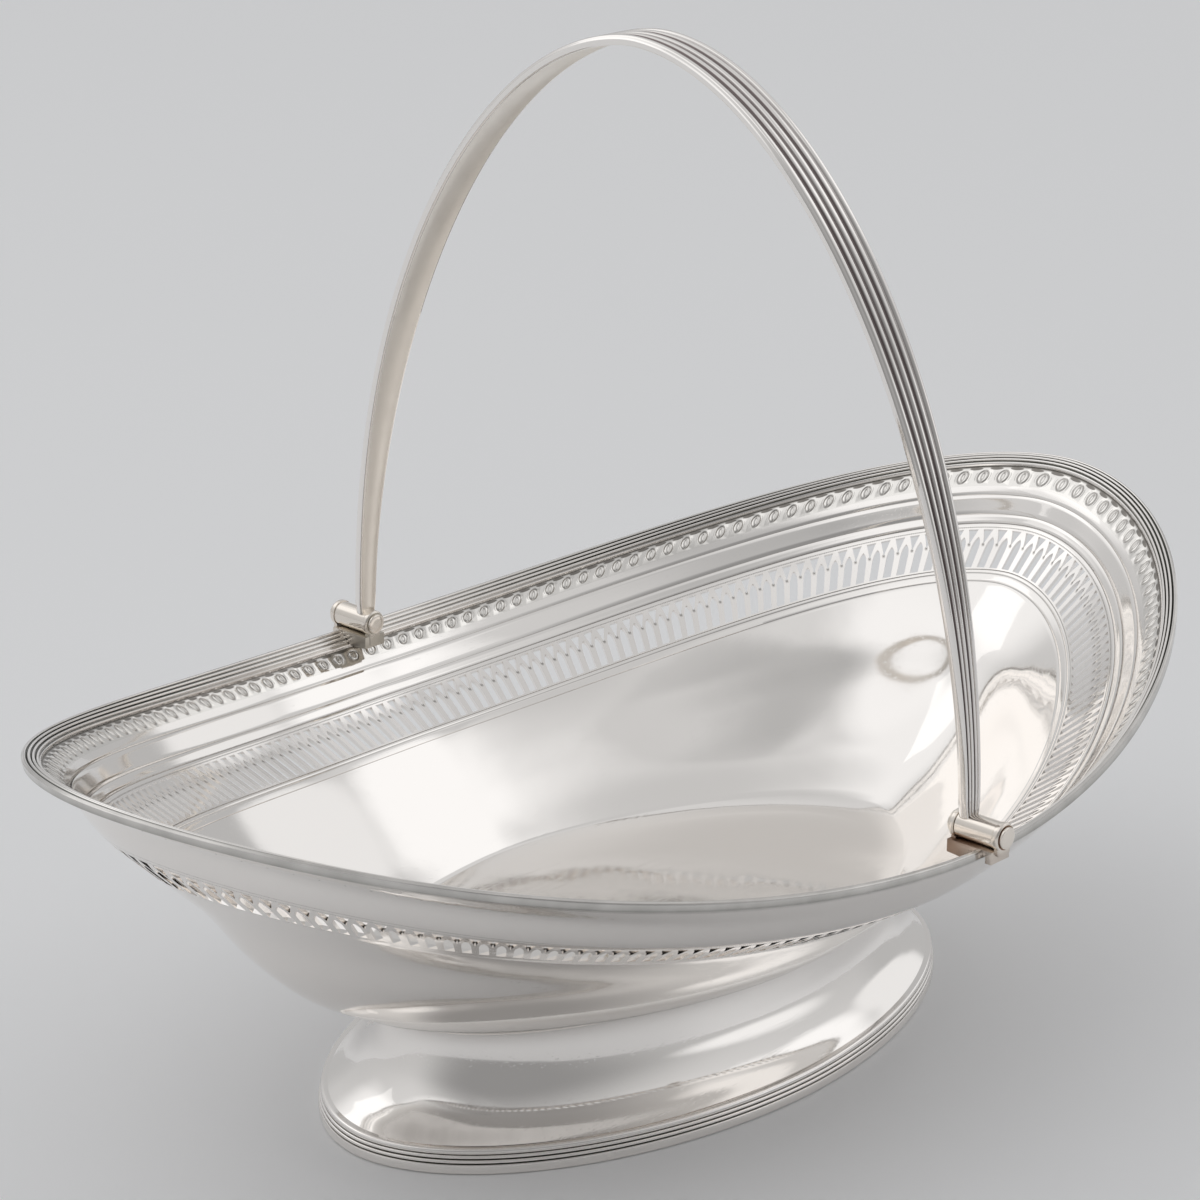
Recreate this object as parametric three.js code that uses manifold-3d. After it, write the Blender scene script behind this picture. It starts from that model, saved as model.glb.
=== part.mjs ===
// A boat-shaped silver cake basket: a raised bowl with a pierced gallery and high ends, reeded
// mouldings round its rim and its oval foot, and a reeded swing handle on two pinned hinges.
// Millimetres, +Z up. The origin is the middle of the foot's underside. +X runs along the boat
// and +Y across it. Run by Node with the npm packages three and manifold-3d.
import * as THREE from "three";
import { mergeVertices } from "three/addons/utils/BufferGeometryUtils.js";
import Module from "manifold-3d";

// Driving dimensions, in millimetres

// How far the touching pieces stay apart.
const GAP = 0.3;

// The bowl's inner face, level by level from its floor to its lip. Each level is an oval that
// rises towards the ends: endX and endZ are its point at the end of the boat, sideY and sideZ
// its point at the middle of the side, and squareness the exponent of its oval.
const FLOOR_Z = 32.6;
const LEVELS = {
  floor: { endX: 94.5, endZ: 34.6, sideY: 51, sideZ: 32.9, squareness: 1.72 },
  heel: { endX: 113, endZ: 45.6, sideY: 57.8, sideZ: 38, squareness: 1.73 },
  belly: { endX: 127.2, endZ: 58.8, sideY: 65.6, sideZ: 44.8, squareness: 1.74 },
  shoulder: { endX: 138.6, endZ: 73.2, sideY: 73.2, sideZ: 51.4, squareness: 1.75 },
  bend: { endX: 150.1, endZ: 84.4, sideY: 79.4, sideZ: 56.5, squareness: 1.76 },
  galleryFoot: { endX: 153, endZ: 87.1, sideY: 82.2, sideZ: 58.4, squareness: 1.77 },
  galleryTop: { endX: 163.5, endZ: 98, sideY: 94.4, sideZ: 66.2, squareness: 1.81 },
  band: { endX: 169.3, endZ: 107.6, sideY: 102.4, sideZ: 74.5, squareness: 1.84 },
  mouldingFoot: { endX: 174.8, endZ: 112.2, sideY: 105.4, sideZ: 78, squareness: 1.86 },
  lip: { endX: 180, endZ: 114.9, sideY: 109, sideZ: 82.4, squareness: 1.86 },
};
const END_RISE = 1.92; // exponent of the rise towards the ends
const FLOOR_FLAT = 0.88; // the share of the floor's width that is flat, over the foot
const SHEET = 1.0;

// The pierced gallery: upright slots between slats, cut through the sheet.
const SLOTS = 192;
const SLOT_SHARE = 0.6; // of each pitch
const SLOT_FROM = 0.1; // shares of the way from galleryFoot to galleryTop
const SLOT_TO = 0.86;
const SLOTS_PER_COLUMN = 2;
const COLUMNS = SLOTS / SLOTS_PER_COLUMN;

// The rim moulding: reeds on the inside face, rebated over the sheet, plain outside.
const REEDS = 4;
const REED_TOP = 1.9;
const REED_GROOVE = 1.15;
const MOULDING_BACK = 1.3;
const BACK_EDGE = 0.96; // where the moulding's rounded edge meets its back
const REBATE = 0.5; // the share of the moulding's width that lies on the sheet
const SHEET_TOP = 0.44; // the share of its width where the sheet ends, just short of that
const GROOVE_SHARE = 0.02; // the width of a groove's floor, as a share of the moulding's

// The foot: an upright oval collar, open below, that sweeps out to a reeded wire.
const FOOT_LEVELS = [
  { x: 83.7, y: 42.9, z: 31.3 },
  { x: 84.1, y: 43.2, z: 27.2 },
  { x: 84.9, y: 43.8, z: 22.6 },
  { x: 87, y: 45.4, z: 17.1 },
  { x: 90.6, y: 48.4, z: 12.4 },
  { x: 94.1, y: 51.4, z: 9.4 },
  { x: 98.7, y: 55.5, z: 6.6 },
  { x: 98.7, y: 55.5, z: 0.6 },
];
const FOOT_SQUARENESS = 1.92;
const FOOT_SHEET = 1.1;
const FOOT_COLUMNS = 72;
const BASE_WIRE_HEIGHT = 6.3;
const BASE_WIRE_DEPTH = 2.2;
const BASE_PLAIN_HEIGHT = 1.65; // the plain strip below the reeds
const BASE_REEDS_HEIGHT = 4.95; // where the reeds end and the wire's rolled edge begins
const BASE_ROLL = { drop: 0.5, back: 0.85, width: 1.6 }; // the rolled edge's bevel
const BASE_REEDS = 3;
const BASE_CHAMFER = 0.6;

// The handle: an arch in the plane X = 0, a strap reeded outside and hollow inside.
const ARCH_HALF_WIDTH = 102.3;
const ARCH_FOOT_Z = 87;
const ARCH_RISE = 170.2;
const ARCH_SQUARENESS = 1.86;
const STRAP_THICKNESS = 2.5;
const STRAP_WIDTHS = { tip: 4.4, neck: 6.1, low: 7, middle: 11, crown: 13.4 };
const STRAP_STEPS = 56;
const STRAP_REEDS = 5;

// The hinges: a knuckle on the handle, between the ears of a saddle let into the rim.
const AXIS_Z = 85.7;
const KNUCKLE_RADIUS = 3;
const EAR_RADIUS = 3.1;
const HINGE_INNER_Y = 98.6;
const HINGE_OUTER_Y = 113;
const EAR_THICKNESS = 1.6;
const EAR_NECK_WIDTH = 4;
const SADDLE_HALF_LENGTH = 3.5;
const SADDLE_TOP_Z = 82.4;
const SADDLE_SEAT_Z = 81.3;
const SADDLE_BASE_Z = 78.4;
const PIN_RADIUS = 1.2;
const PIN_BORE = 1.5;
const PIN_HEAD_RADIUS = 2.7;
const PIN_HEAD_THICKNESS = 0.5;
const ROUND_SIDES = 20;

// The pieces' metal: bright silver, a little warmer on the hinges.
const SILVER = { color: 0xd9d8d5, roughness: 0.12, metalness: 1 };
const HINGE_SILVER = { color: 0xd8d0c4, roughness: 0.18, metalness: 1 };

const wasm = await Module();
wasm.setup();

const SMALL_TURN = 1e-3; // a step for finding directions, in radians or in levels

const mix = (from, to, share) => from + (to - from) * share;

// One coordinate of a superellipse: sign(t) |t|^(2/n).
function ovalTerm(t, squareness) {
  return Math.sign(t) * Math.abs(t) ** (2 / squareness);
}

// Meshes

// A geometry from points and triangles.
function geometryOf(points, triangles) {
  const geometry = new THREE.BufferGeometry().setFromPoints(points);
  geometry.setIndex(triangles);
  return geometry;
}

// Two triangles for the quad a, b, c, d.
function quad(triangles, a, b, c, d) {
  triangles.push(a, b, c, a, c, d);
}

// A closed ring of one cross-section: sections[column][corner], all with the same corners.
function ringOfSections(sections) {
  const corners = sections[0].length;
  const triangles = [];
  sections.forEach((section, column) => {
    const here = column * corners;
    const next = ((column + 1) % sections.length) * corners;
    for (let k = 0; k < corners; k++) {
      const l = (k + 1) % corners;
      quad(triangles, here + k, here + l, next + l, next + k);
    }
  });
  return geometryOf(sections.flat(), triangles);
}

// A bar of cross-sections, closed at its two ends by a fan round the section's middle.
function barOfSections(sections) {
  const corners = sections[0].length;
  const points = sections.flat();
  const triangles = [];
  for (let step = 0; step + 1 < sections.length; step++) {
    for (let k = 0; k < corners; k++) {
      const l = (k + 1) % corners;
      quad(
        triangles,
        step * corners + k,
        step * corners + l,
        (step + 1) * corners + l,
        (step + 1) * corners + k,
      );
    }
  }
  const last = (sections.length - 1) * corners;
  const middles = [sections[0], sections.at(-1)].map((section) => {
    const middle = new THREE.Vector3();
    section.forEach((point) => middle.add(point));
    return points.push(middle.divideScalar(corners)) - 1;
  });
  for (let k = 0; k < corners; k++) {
    const l = (k + 1) % corners;
    triangles.push(middles[0], l, k);
    triangles.push(middles[1], last + k, last + l);
  }
  return geometryOf(points, triangles);
}

// A manifold-3d solid from a three.js geometry.
function solidOf(geometry) {
  const bare = geometry.clone();
  bare.deleteAttribute("normal");
  bare.deleteAttribute("uv");
  const merged = mergeVertices(bare, 1e-4);
  return new wasm.Manifold(
    new wasm.Mesh({
      numProp: 3,
      vertProperties: merged.attributes.position.array,
      triVerts: new Uint32Array(merged.index.array),
    }),
  );
}

// A three.js geometry from a manifold-3d solid.
function geometryFrom(solid) {
  const mesh = solid.getMesh();
  const geometry = new THREE.BufferGeometry();
  geometry.setAttribute("position", new THREE.BufferAttribute(mesh.vertProperties, 3));
  geometry.setIndex(new THREE.BufferAttribute(mesh.triVerts, 1));
  return geometry;
}

// A named mesh with its own material.
function piece(name, geometry, metal) {
  const mesh = new THREE.Mesh(geometry, new THREE.MeshStandardMaterial(metal));
  mesh.name = name;
  return mesh;
}

// The bowl's face

const levelList = Object.values(LEVELS);
const levelIndex = Object.fromEntries(Object.keys(LEVELS).map((name, i) => [name, i]));
const endCurve = new THREE.CatmullRomCurve3(
  levelList.map((level) => new THREE.Vector3(level.endX, level.squareness, level.endZ)),
);
const sideCurve = new THREE.CatmullRomCurve3(
  levelList.map((level) => new THREE.Vector3(level.sideY, 0, level.sideZ)),
);

// The point of the bowl's inner face at a height along the levels, 0 at the floor's edge and
// 1 a level, and at an angle round the oval.
function facePoint(height, angle) {
  const share = height / (levelList.length - 1);
  const end = endCurve.getPoint(share);
  const side = sideCurve.getPoint(share);
  const along = ovalTerm(Math.cos(angle), end.y);
  const across = ovalTerm(Math.sin(angle), end.y);
  const rise = Math.abs(along) ** END_RISE;
  return new THREE.Vector3(end.x * along, side.x * across, mix(side.z, end.z, rise));
}

// The same point moved off the face: towards the inside of the bowl where lift is positive.
function liftedPoint(height, angle, lift) {
  const top = levelList.length - 1;
  const low = Math.min(height, top - SMALL_TURN);
  const here = facePoint(low, angle);
  const up = facePoint(low + SMALL_TURN, angle).sub(here);
  const round = facePoint(low, angle + SMALL_TURN).sub(facePoint(low, angle - SMALL_TURN));
  const normal = up.cross(round).normalize();
  return facePoint(height, angle).addScaledVector(normal, lift);
}

// Angles that are evenly spaced along the middle of the gallery.
const ANGLE_SAMPLES = 4000;
const galleryMiddle = (levelIndex.galleryFoot + levelIndex.galleryTop) / 2;
const runs = [0];
for (let i = 1; i <= ANGLE_SAMPLES; i++) {
  const from = facePoint(galleryMiddle, (2 * Math.PI * (i - 1)) / ANGLE_SAMPLES);
  const to = facePoint(galleryMiddle, (2 * Math.PI * i) / ANGLE_SAMPLES);
  runs.push(runs[i - 1] + to.distanceTo(from));
}

// The angle at a share of the way round.
function evenAngle(share) {
  const wanted = share * runs[ANGLE_SAMPLES];
  const i = runs.findIndex((run) => run >= wanted);
  if (i <= 0) return 0;
  const part = (wanted - runs[i - 1]) / (runs[i] - runs[i - 1]);
  return (2 * Math.PI * (i - 1 + part)) / ANGLE_SAMPLES;
}

const columnAngles = Array.from({ length: COLUMNS }, (_, i) => evenAngle(i / COLUMNS));
const slotAngles = Array.from({ length: 2 * SLOTS }, (_, i) => {
  const slot = Math.floor(i / 2);
  const share = i % 2 ? SLOT_SHARE : 0;
  return evenAngle((slot + share) / SLOTS);
});

// Pieces

// The bowl: a sheet with a flat floor, its wall pierced by the gallery's slots.
function makeBowl() {
  const points = [];
  const triangles = [];
  const slotLow = mix(levelIndex.galleryFoot, levelIndex.galleryTop, SLOT_FROM);
  const slotHigh = mix(levelIndex.galleryFoot, levelIndex.galleryTop, SLOT_TO);
  const sheetTop = mix(levelIndex.mouldingFoot, levelIndex.lip, SHEET_TOP);
  const { floor, heel, belly, shoulder, bend, galleryFoot } = levelIndex;
  const wall = [floor, (floor + heel) / 2, heel, belly, shoulder, bend, galleryFoot];
  const flare = [levelIndex.galleryTop, levelIndex.band, levelIndex.mouldingFoot, sheetTop];

  const ring = (height, angles, lift) => {
    const start = points.length;
    angles.forEach((angle) => points.push(liftedPoint(height, angle, lift)));
    return { start, count: angles.length };
  };
  // Joins a ring to the next one, where the second may have a whole number of times as many
  // points; outward turns the faces round.
  const join = (lower, upper, outward) => {
    const many = Math.max(lower.count, upper.count);
    for (let j = 0; j < many; j++) {
      const at = (r, k) => r.start + (Math.floor((k * r.count) / many + 0.5) % r.count);
      const corners = [at(lower, j), at(lower, j + 1), at(upper, j + 1), at(upper, j)];
      const kept = corners.filter((c, k) => c !== corners[(k + 1) % 4]);
      if (!outward) kept.reverse();
      for (let k = 1; k + 1 < kept.length; k++) triangles.push(kept[0], kept[k], kept[k + 1]);
    }
  };
  const face = (lift, outward) => {
    const middle = points.length;
    points.push(new THREE.Vector3(0, 0, FLOOR_Z + lift));
    const floorStart = points.length;
    columnAngles.forEach((angle) => {
      const edge = liftedPoint(0, angle, lift);
      points.push(new THREE.Vector3(edge.x * FLOOR_FLAT, edge.y * FLOOR_FLAT, FLOOR_Z + lift));
    });
    const inner = { start: floorStart, count: COLUMNS };
    for (let j = 0; j < COLUMNS; j++) {
      const fan = [middle, floorStart + j, floorStart + ((j + 1) % COLUMNS)];
      if (outward) fan.reverse();
      triangles.push(...fan);
    }
    const low = wall.map((height) => ring(height, columnAngles, lift));
    join(inner, low[0], outward);
    low.slice(1).forEach((next, i) => join(low[i], next, outward));
    const bottom = ring(slotLow, slotAngles, lift);
    const top = ring(slotHigh, slotAngles, lift);
    join(low.at(-1), bottom, outward);
    for (let j = 1; j < slotAngles.length; j += 2) {
      const k = (j + 1) % slotAngles.length;
      const corners = [bottom.start + j, bottom.start + k, top.start + k, top.start + j];
      if (!outward) corners.reverse();
      quad(triangles, ...corners);
    }
    const high = flare.map((height) => ring(height, columnAngles, lift));
    join(top, high[0], outward);
    high.slice(1).forEach((next, i) => join(high[i], next, outward));
    return { bottom, top, edge: high.at(-1) };
  };

  const inside = face(0, false);
  const outside = face(-SHEET, true);
  join(inside.edge, outside.edge, false);
  // The four walls of each slot.
  for (let j = 0; j < slotAngles.length; j += 2) {
    const k = j + 1;
    const around = [
      [inside.bottom.start + j, outside.bottom.start + j],
      [inside.bottom.start + k, outside.bottom.start + k],
      [inside.top.start + k, outside.top.start + k],
      [inside.top.start + j, outside.top.start + j],
    ];
    around.forEach(([near, far], side) => {
      const [nextNear, nextFar] = around[(side + 1) % 4];
      quad(triangles, near, far, nextFar, nextNear);
    });
  }
  return piece("bowl", geometryOf(points, triangles), SILVER);
}

// The rim moulding's section: shares along its width, and distances off the sheet's face.
function rimSection() {
  const half = GROOVE_SHARE / 2;
  const outline = [[0, GAP]];
  for (let reed = 0; reed < REEDS; reed++) {
    outline.push([reed / REEDS + half, REED_GROOVE]);
    outline.push([(reed + 0.5) / REEDS, REED_TOP]);
  }
  outline.push([1 - half, REED_GROOVE]);
  outline.push([1, 0]);
  outline.push([BACK_EDGE, -MOULDING_BACK]);
  outline.push([REBATE, -MOULDING_BACK]);
  outline.push([REBATE, GAP]);
  return outline;
}

// The box that a saddle takes out of the rim.
function saddleNotch(side) {
  const height = 10;
  const notch = new THREE.BoxGeometry(
    2 * (SADDLE_HALF_LENGTH + GAP),
    HINGE_OUTER_Y - HINGE_INNER_Y + 2 * GAP,
    height,
  );
  const middleY = (HINGE_OUTER_Y + HINGE_INNER_Y) / 2;
  notch.translate(0, side * middleY, SADDLE_SEAT_Z - GAP + height / 2);
  return solidOf(notch);
}

function makeRimMoulding() {
  const section = rimSection();
  const from = levelIndex.mouldingFoot;
  const sections = columnAngles.map((angle) =>
    section.map(([share, lift]) => liftedPoint(from + share, angle, lift)),
  );
  let solid = solidOf(ringOfSections(sections));
  [-1, 1].forEach((side) => {
    solid = solid.subtract(saddleNotch(side));
  });
  return piece("rim_moulding", geometryFrom(solid), SILVER);
}

// A point of the foot's oval at an angle.
function footPoint(x, y, z, angle) {
  return new THREE.Vector3(
    x * ovalTerm(Math.cos(angle), FOOT_SQUARENESS),
    y * ovalTerm(Math.sin(angle), FOOT_SQUARENESS),
    z,
  );
}

const footAngles = Array.from({ length: FOOT_COLUMNS }, (_, i) => {
  return (2 * Math.PI * (i + 0.5)) / FOOT_COLUMNS;
});

function makeFoot() {
  const outer = FOOT_LEVELS;
  const inner = FOOT_LEVELS.map(({ x, y, z }, i) => {
    const above = outer[Math.max(i - 1, 0)];
    const below = outer[Math.min(i + 1, outer.length - 1)];
    const out = new THREE.Vector2(above.z - below.z, below.x - above.x).setLength(FOOT_SHEET);
    return { x: x - out.x, y: y - out.x, z: z - out.y };
  }).reverse();
  const sections = footAngles.map((angle) =>
    [...outer, ...inner].map(({ x, y, z }) => footPoint(x, y, z, angle)),
  );
  return piece("foot", ringOfSections(sections), SILVER);
}

// The reeded wire round the foot, with a flat underside to stand on.
function makeFootMoulding() {
  const base = FOOT_LEVELS.at(-1);
  const inside = base.x + GAP;
  const outside = inside + BASE_WIRE_DEPTH;
  const reedPitch = (BASE_REEDS_HEIGHT - BASE_PLAIN_HEIGHT) / BASE_REEDS;
  const leanBack = 0.25; // each reed lies this much further in than the one below
  const grooveDepth = 0.6;
  const section = [
    [inside, 0],
    [outside - BASE_CHAMFER, 0],
    [outside, BASE_CHAMFER],
    [outside, BASE_PLAIN_HEIGHT],
  ];
  for (let reed = 0; reed < BASE_REEDS; reed++) {
    const low = BASE_PLAIN_HEIGHT + reed * reedPitch;
    const face = outside - leanBack * reed;
    section.push([face, low + reedPitch / 2]);
    section.push([face - grooveDepth, low + reedPitch]);
  }
  section.push([outside - BASE_ROLL.back, BASE_WIRE_HEIGHT - BASE_ROLL.drop]);
  section.push([outside - BASE_ROLL.width, BASE_WIRE_HEIGHT]);
  section.push([inside, BASE_WIRE_HEIGHT]);
  section.reverse();
  const narrower = base.x - base.y;
  const sections = footAngles.map((angle) =>
    section.map(([x, z]) => footPoint(x, x - narrower, z, angle)),
  );
  return piece("foot_moulding", ringOfSections(sections), SILVER);
}

// The handle's width at a height, as a share of the arch's rise.
function strapWidth(height) {
  const stops = [
    [0, STRAP_WIDTHS.tip],
    [0.03, STRAP_WIDTHS.neck],
    [0.15, STRAP_WIDTHS.low],
    [0.5, STRAP_WIDTHS.middle],
    [1, STRAP_WIDTHS.crown],
  ];
  const i = Math.max(1, stops.findIndex(([at]) => at >= height));
  const [from, narrow] = stops[i - 1];
  const [to, wide] = stops[i];
  return mix(narrow, wide, (height - from) / (to - from));
}

// The strap's section: across runs from -0.5 to 0.5 of the width, out is in strap thicknesses.
function strapSection() {
  const outline = [];
  for (let reed = 0; reed < STRAP_REEDS; reed++) {
    if (reed > 0) outline.push([reed / STRAP_REEDS - 0.5, 0.26]);
    outline.push([(reed + 0.5) / STRAP_REEDS - 0.5, 0.5]);
  }
  outline.push([0.5, 0.2], [0.46, -0.5], [0, -0.26], [-0.46, -0.5], [-0.5, 0.2]);
  return outline;
}

function makeHandle() {
  const section = strapSection();
  const footRise = (AXIS_Z + KNUCKLE_RADIUS + GAP - ARCH_FOOT_Z) / ARCH_RISE;
  const start = Math.asin(footRise ** (ARCH_SQUARENESS / 2));
  const sections = Array.from({ length: STRAP_STEPS + 1 }, (_, i) => {
    const turn = mix(Math.PI - start, start, i / STRAP_STEPS);
    const at = (t) => [
      ARCH_HALF_WIDTH * ovalTerm(Math.cos(t), ARCH_SQUARENESS),
      ARCH_FOOT_Z + ARCH_RISE * ovalTerm(Math.sin(t), ARCH_SQUARENESS),
    ];
    const [y, z] = at(turn);
    const [beforeY, beforeZ] = at(turn - SMALL_TURN);
    const [afterY, afterZ] = at(turn + SMALL_TURN);
    const out = new THREE.Vector2(afterZ - beforeZ, beforeY - afterY).normalize();
    const width = strapWidth((z - ARCH_FOOT_Z) / ARCH_RISE);
    return section.map(([across, thick]) => {
      const lift = thick * STRAP_THICKNESS;
      return new THREE.Vector3(across * width, y + lift * out.x, z + lift * out.y);
    });
  });
  return piece("handle", barOfSections(sections), SILVER);
}

// A round bar along Y, with a bore where it has one.
function barAlongY(radius, fromY, toY, bore = 0) {
  const half = (toY - fromY) / 2;
  const profile = [
    new THREE.Vector2(bore, -half),
    new THREE.Vector2(radius, -half),
    new THREE.Vector2(radius, half),
    new THREE.Vector2(bore, half),
  ];
  if (bore) profile.push(profile[0].clone());
  const bar = new THREE.LatheGeometry(profile, ROUND_SIDES);
  bar.translate(0, half + fromY, 0);
  bar.translate(0, 0, AXIS_Z);
  return bar;
}

// A hinge lies on the +Y side as it is made, and its twin is turned half round to the other.
function turnedTo(side, mesh) {
  mesh.rotation.z = side > 0 ? 0 : Math.PI;
  return mesh;
}

function makeKnuckle(name, side) {
  const from = HINGE_INNER_Y + EAR_THICKNESS + GAP;
  const to = HINGE_OUTER_Y - EAR_THICKNESS - GAP;
  return turnedTo(side, piece(name, barAlongY(KNUCKLE_RADIUS, from, to, PIN_BORE), HINGE_SILVER));
}

// The saddle's outline across the rim: a plate under the knuckle, a lip inside the moulding
// and a tab that hooks over it outside.
function saddleOutline() {
  const shape = new THREE.Shape();
  shape.moveTo(HINGE_INNER_Y, SADDLE_TOP_Z);
  shape.lineTo(HINGE_INNER_Y, SADDLE_BASE_Z);
  shape.lineTo(103.2, SADDLE_BASE_Z);
  shape.lineTo(104.9, SADDLE_SEAT_Z);
  shape.lineTo(110, SADDLE_SEAT_Z);
  shape.lineTo(109, SADDLE_BASE_Z);
  shape.lineTo(HINGE_OUTER_Y, SADDLE_BASE_Z);
  shape.lineTo(HINGE_OUTER_Y, SADDLE_TOP_Z);
  shape.closePath();
  return shape;
}

// An ear: a round lug on a neck that stands on the saddle.
function earSolid(fromY) {
  const sunk = 0.5; // how far the neck runs down into the saddle
  const neck = new THREE.BoxGeometry(
    EAR_NECK_WIDTH,
    EAR_THICKNESS,
    AXIS_Z - SADDLE_TOP_Z + sunk,
  );
  neck.translate(0, fromY + EAR_THICKNESS / 2, (AXIS_Z + SADDLE_TOP_Z - sunk) / 2);
  const lug = barAlongY(EAR_RADIUS, fromY, fromY + EAR_THICKNESS);
  return solidOf(lug).add(solidOf(neck));
}

function makeBracket(name, side) {
  const plate = new THREE.ExtrudeGeometry(saddleOutline(), {
    depth: 2 * SADDLE_HALF_LENGTH,
    bevelEnabled: false,
  });
  // The outline's x is the part's Y and its y the part's Z, so its depth runs along the part's X.
  plate.applyMatrix4(new THREE.Matrix4().makeBasis(
    new THREE.Vector3(0, 1, 0),
    new THREE.Vector3(0, 0, 1),
    new THREE.Vector3(1, 0, 0),
  ));
  plate.translate(-SADDLE_HALF_LENGTH, 0, 0);
  const bore = barAlongY(PIN_BORE, HINGE_INNER_Y - 1, HINGE_OUTER_Y + 1);
  const solid = solidOf(plate)
    .add(earSolid(HINGE_INNER_Y))
    .add(earSolid(HINGE_OUTER_Y - EAR_THICKNESS))
    .subtract(solidOf(bore));
  return turnedTo(side, piece(name, geometryFrom(solid), HINGE_SILVER));
}

// The pin, closed over at both ends into flat round heads.
function makePin(name, side) {
  const from = HINGE_INNER_Y - GAP;
  const to = HINGE_OUTER_Y + GAP;
  const sunk = PIN_HEAD_THICKNESS / 2;
  const solid = solidOf(barAlongY(PIN_RADIUS, from - sunk, to + sunk))
    .add(solidOf(barAlongY(PIN_HEAD_RADIUS, from - PIN_HEAD_THICKNESS, from)))
    .add(solidOf(barAlongY(PIN_HEAD_RADIUS, to, to + PIN_HEAD_THICKNESS)));
  return turnedTo(side, piece(name, geometryFrom(solid), HINGE_SILVER));
}

// The two bodies: what stands, and what swings on the hinges.
const standing = new THREE.Group();
standing.add(makeBowl(), makeRimMoulding(), makeFoot(), makeFootMoulding());
const swinging = new THREE.Group();
swinging.add(makeHandle());
[
  ["near", -1],
  ["far", 1],
].forEach(([place, side]) => {
  standing.add(makeBracket(`hinge_bracket_${place}`, side));
  standing.add(makePin(`hinge_pin_${place}`, side));
  swinging.add(makeKnuckle(`handle_knuckle_${place}`, side));
});

const basket = new THREE.Group();
basket.add(standing, swinging);

export default basket;
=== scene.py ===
"""A boat-shaped silver cake basket: pierced gallery, bright-cut border, reeded mouldings and a
reeded swing handle. Sizes in the classes are millimetres; Blender's own units are metres."""

import logging
import math
from collections.abc import Callable, Sequence
from dataclasses import dataclass
from enum import Enum

import bpy
import numpy as np
from mathutils import Matrix, Vector

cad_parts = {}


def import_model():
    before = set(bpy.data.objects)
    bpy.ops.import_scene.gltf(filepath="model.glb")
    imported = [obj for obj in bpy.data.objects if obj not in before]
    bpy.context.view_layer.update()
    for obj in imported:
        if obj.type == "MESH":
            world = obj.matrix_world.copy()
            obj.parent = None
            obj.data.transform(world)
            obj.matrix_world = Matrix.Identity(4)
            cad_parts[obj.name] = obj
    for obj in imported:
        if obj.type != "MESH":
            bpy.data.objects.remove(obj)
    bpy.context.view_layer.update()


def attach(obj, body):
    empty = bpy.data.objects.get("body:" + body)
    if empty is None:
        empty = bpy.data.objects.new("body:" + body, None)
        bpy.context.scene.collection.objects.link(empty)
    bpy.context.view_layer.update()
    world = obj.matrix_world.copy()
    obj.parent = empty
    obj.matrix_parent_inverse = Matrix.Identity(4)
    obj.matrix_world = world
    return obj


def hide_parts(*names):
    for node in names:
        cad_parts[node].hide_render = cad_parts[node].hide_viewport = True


MM = 0.001
TURN = 2.0 * math.pi
SMALL_STEP = 1e-3  # a step for finding directions, in levels or radians
MERGE_DISTANCE = 2e-6  # metres
FLAT_MERGE = 1e-4  # in a flat tile's own units
SHARP_ANGLE = 40.0
HEIGHT_PROBE = 0.01  # a step for measuring, in levels

log = logging.getLogger("basket")


class Slot(Enum):
    """The record's material slots."""

    SHEET = "silver_sheet"
    MOULDING = "silver_moulding"
    HINGE = "silver_hinge"


class Body(Enum):
    """The bodies that pieces ride on."""

    BASKET = "basket"
    HANDLE = "handle"


# Curves and the bowl's face


class SmoothCurve:
    """A centripetal Catmull-Rom curve through points, open at both ends."""

    def __init__(self, points: Sequence[Sequence[float]]) -> None:
        """Keeps the points and the spacing of their knots.

        Args:
            points: The points that the curve goes through.
        """
        inner = np.array(points, float)
        first = 2 * inner[0] - inner[1]
        last = 2 * inner[-1] - inner[-2]
        self.knots = np.vstack([first, inner, last])
        gaps = np.linalg.norm(np.diff(self.knots, axis=0), axis=1)
        self.spans = np.sqrt(np.maximum(gaps, 1e-9))
        self.segments = len(inner) - 1

    def at(self, share: np.ndarray) -> np.ndarray:
        """Points of the curve.

        Args:
            share: 0 at the first point and 1 at the last, each segment an equal part.

        Returns:
            One row of coordinates for each share.
        """
        place = np.clip(share, 0, 1) * self.segments
        i = np.clip(np.floor(place).astype(int), 0, self.segments - 1)
        w = (place - i)[:, None]
        p0, p1, p2, p3 = (self.knots[i + k] for k in range(4))
        d0, d1, d2 = (self.spans[i + k][:, None] for k in range(3))
        t1 = ((p1 - p0) / d0 - (p2 - p0) / (d0 + d1) + (p2 - p1) / d1) * d1
        t2 = ((p2 - p1) / d1 - (p3 - p1) / (d1 + d2) + (p3 - p2) / d2) * d1
        cubic = 2 * p1 - 2 * p2 + t1 + t2
        square = -3 * p1 + 3 * p2 - 2 * t1 - t2
        return p1 + t1 * w + square * w**2 + cubic * w**3


def oval_term(value: np.ndarray, squareness: np.ndarray | float) -> np.ndarray:
    """One coordinate of a superellipse, from the cosine or sine of its angle."""
    return np.sign(value) * np.abs(value) ** (2 / squareness)


@dataclass(frozen=True)
class Level:
    """One level of the bowl: its reach along the boat and across it, and its heights."""

    end_x: float
    end_z: float
    side_y: float
    side_z: float
    squareness: float


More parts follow.
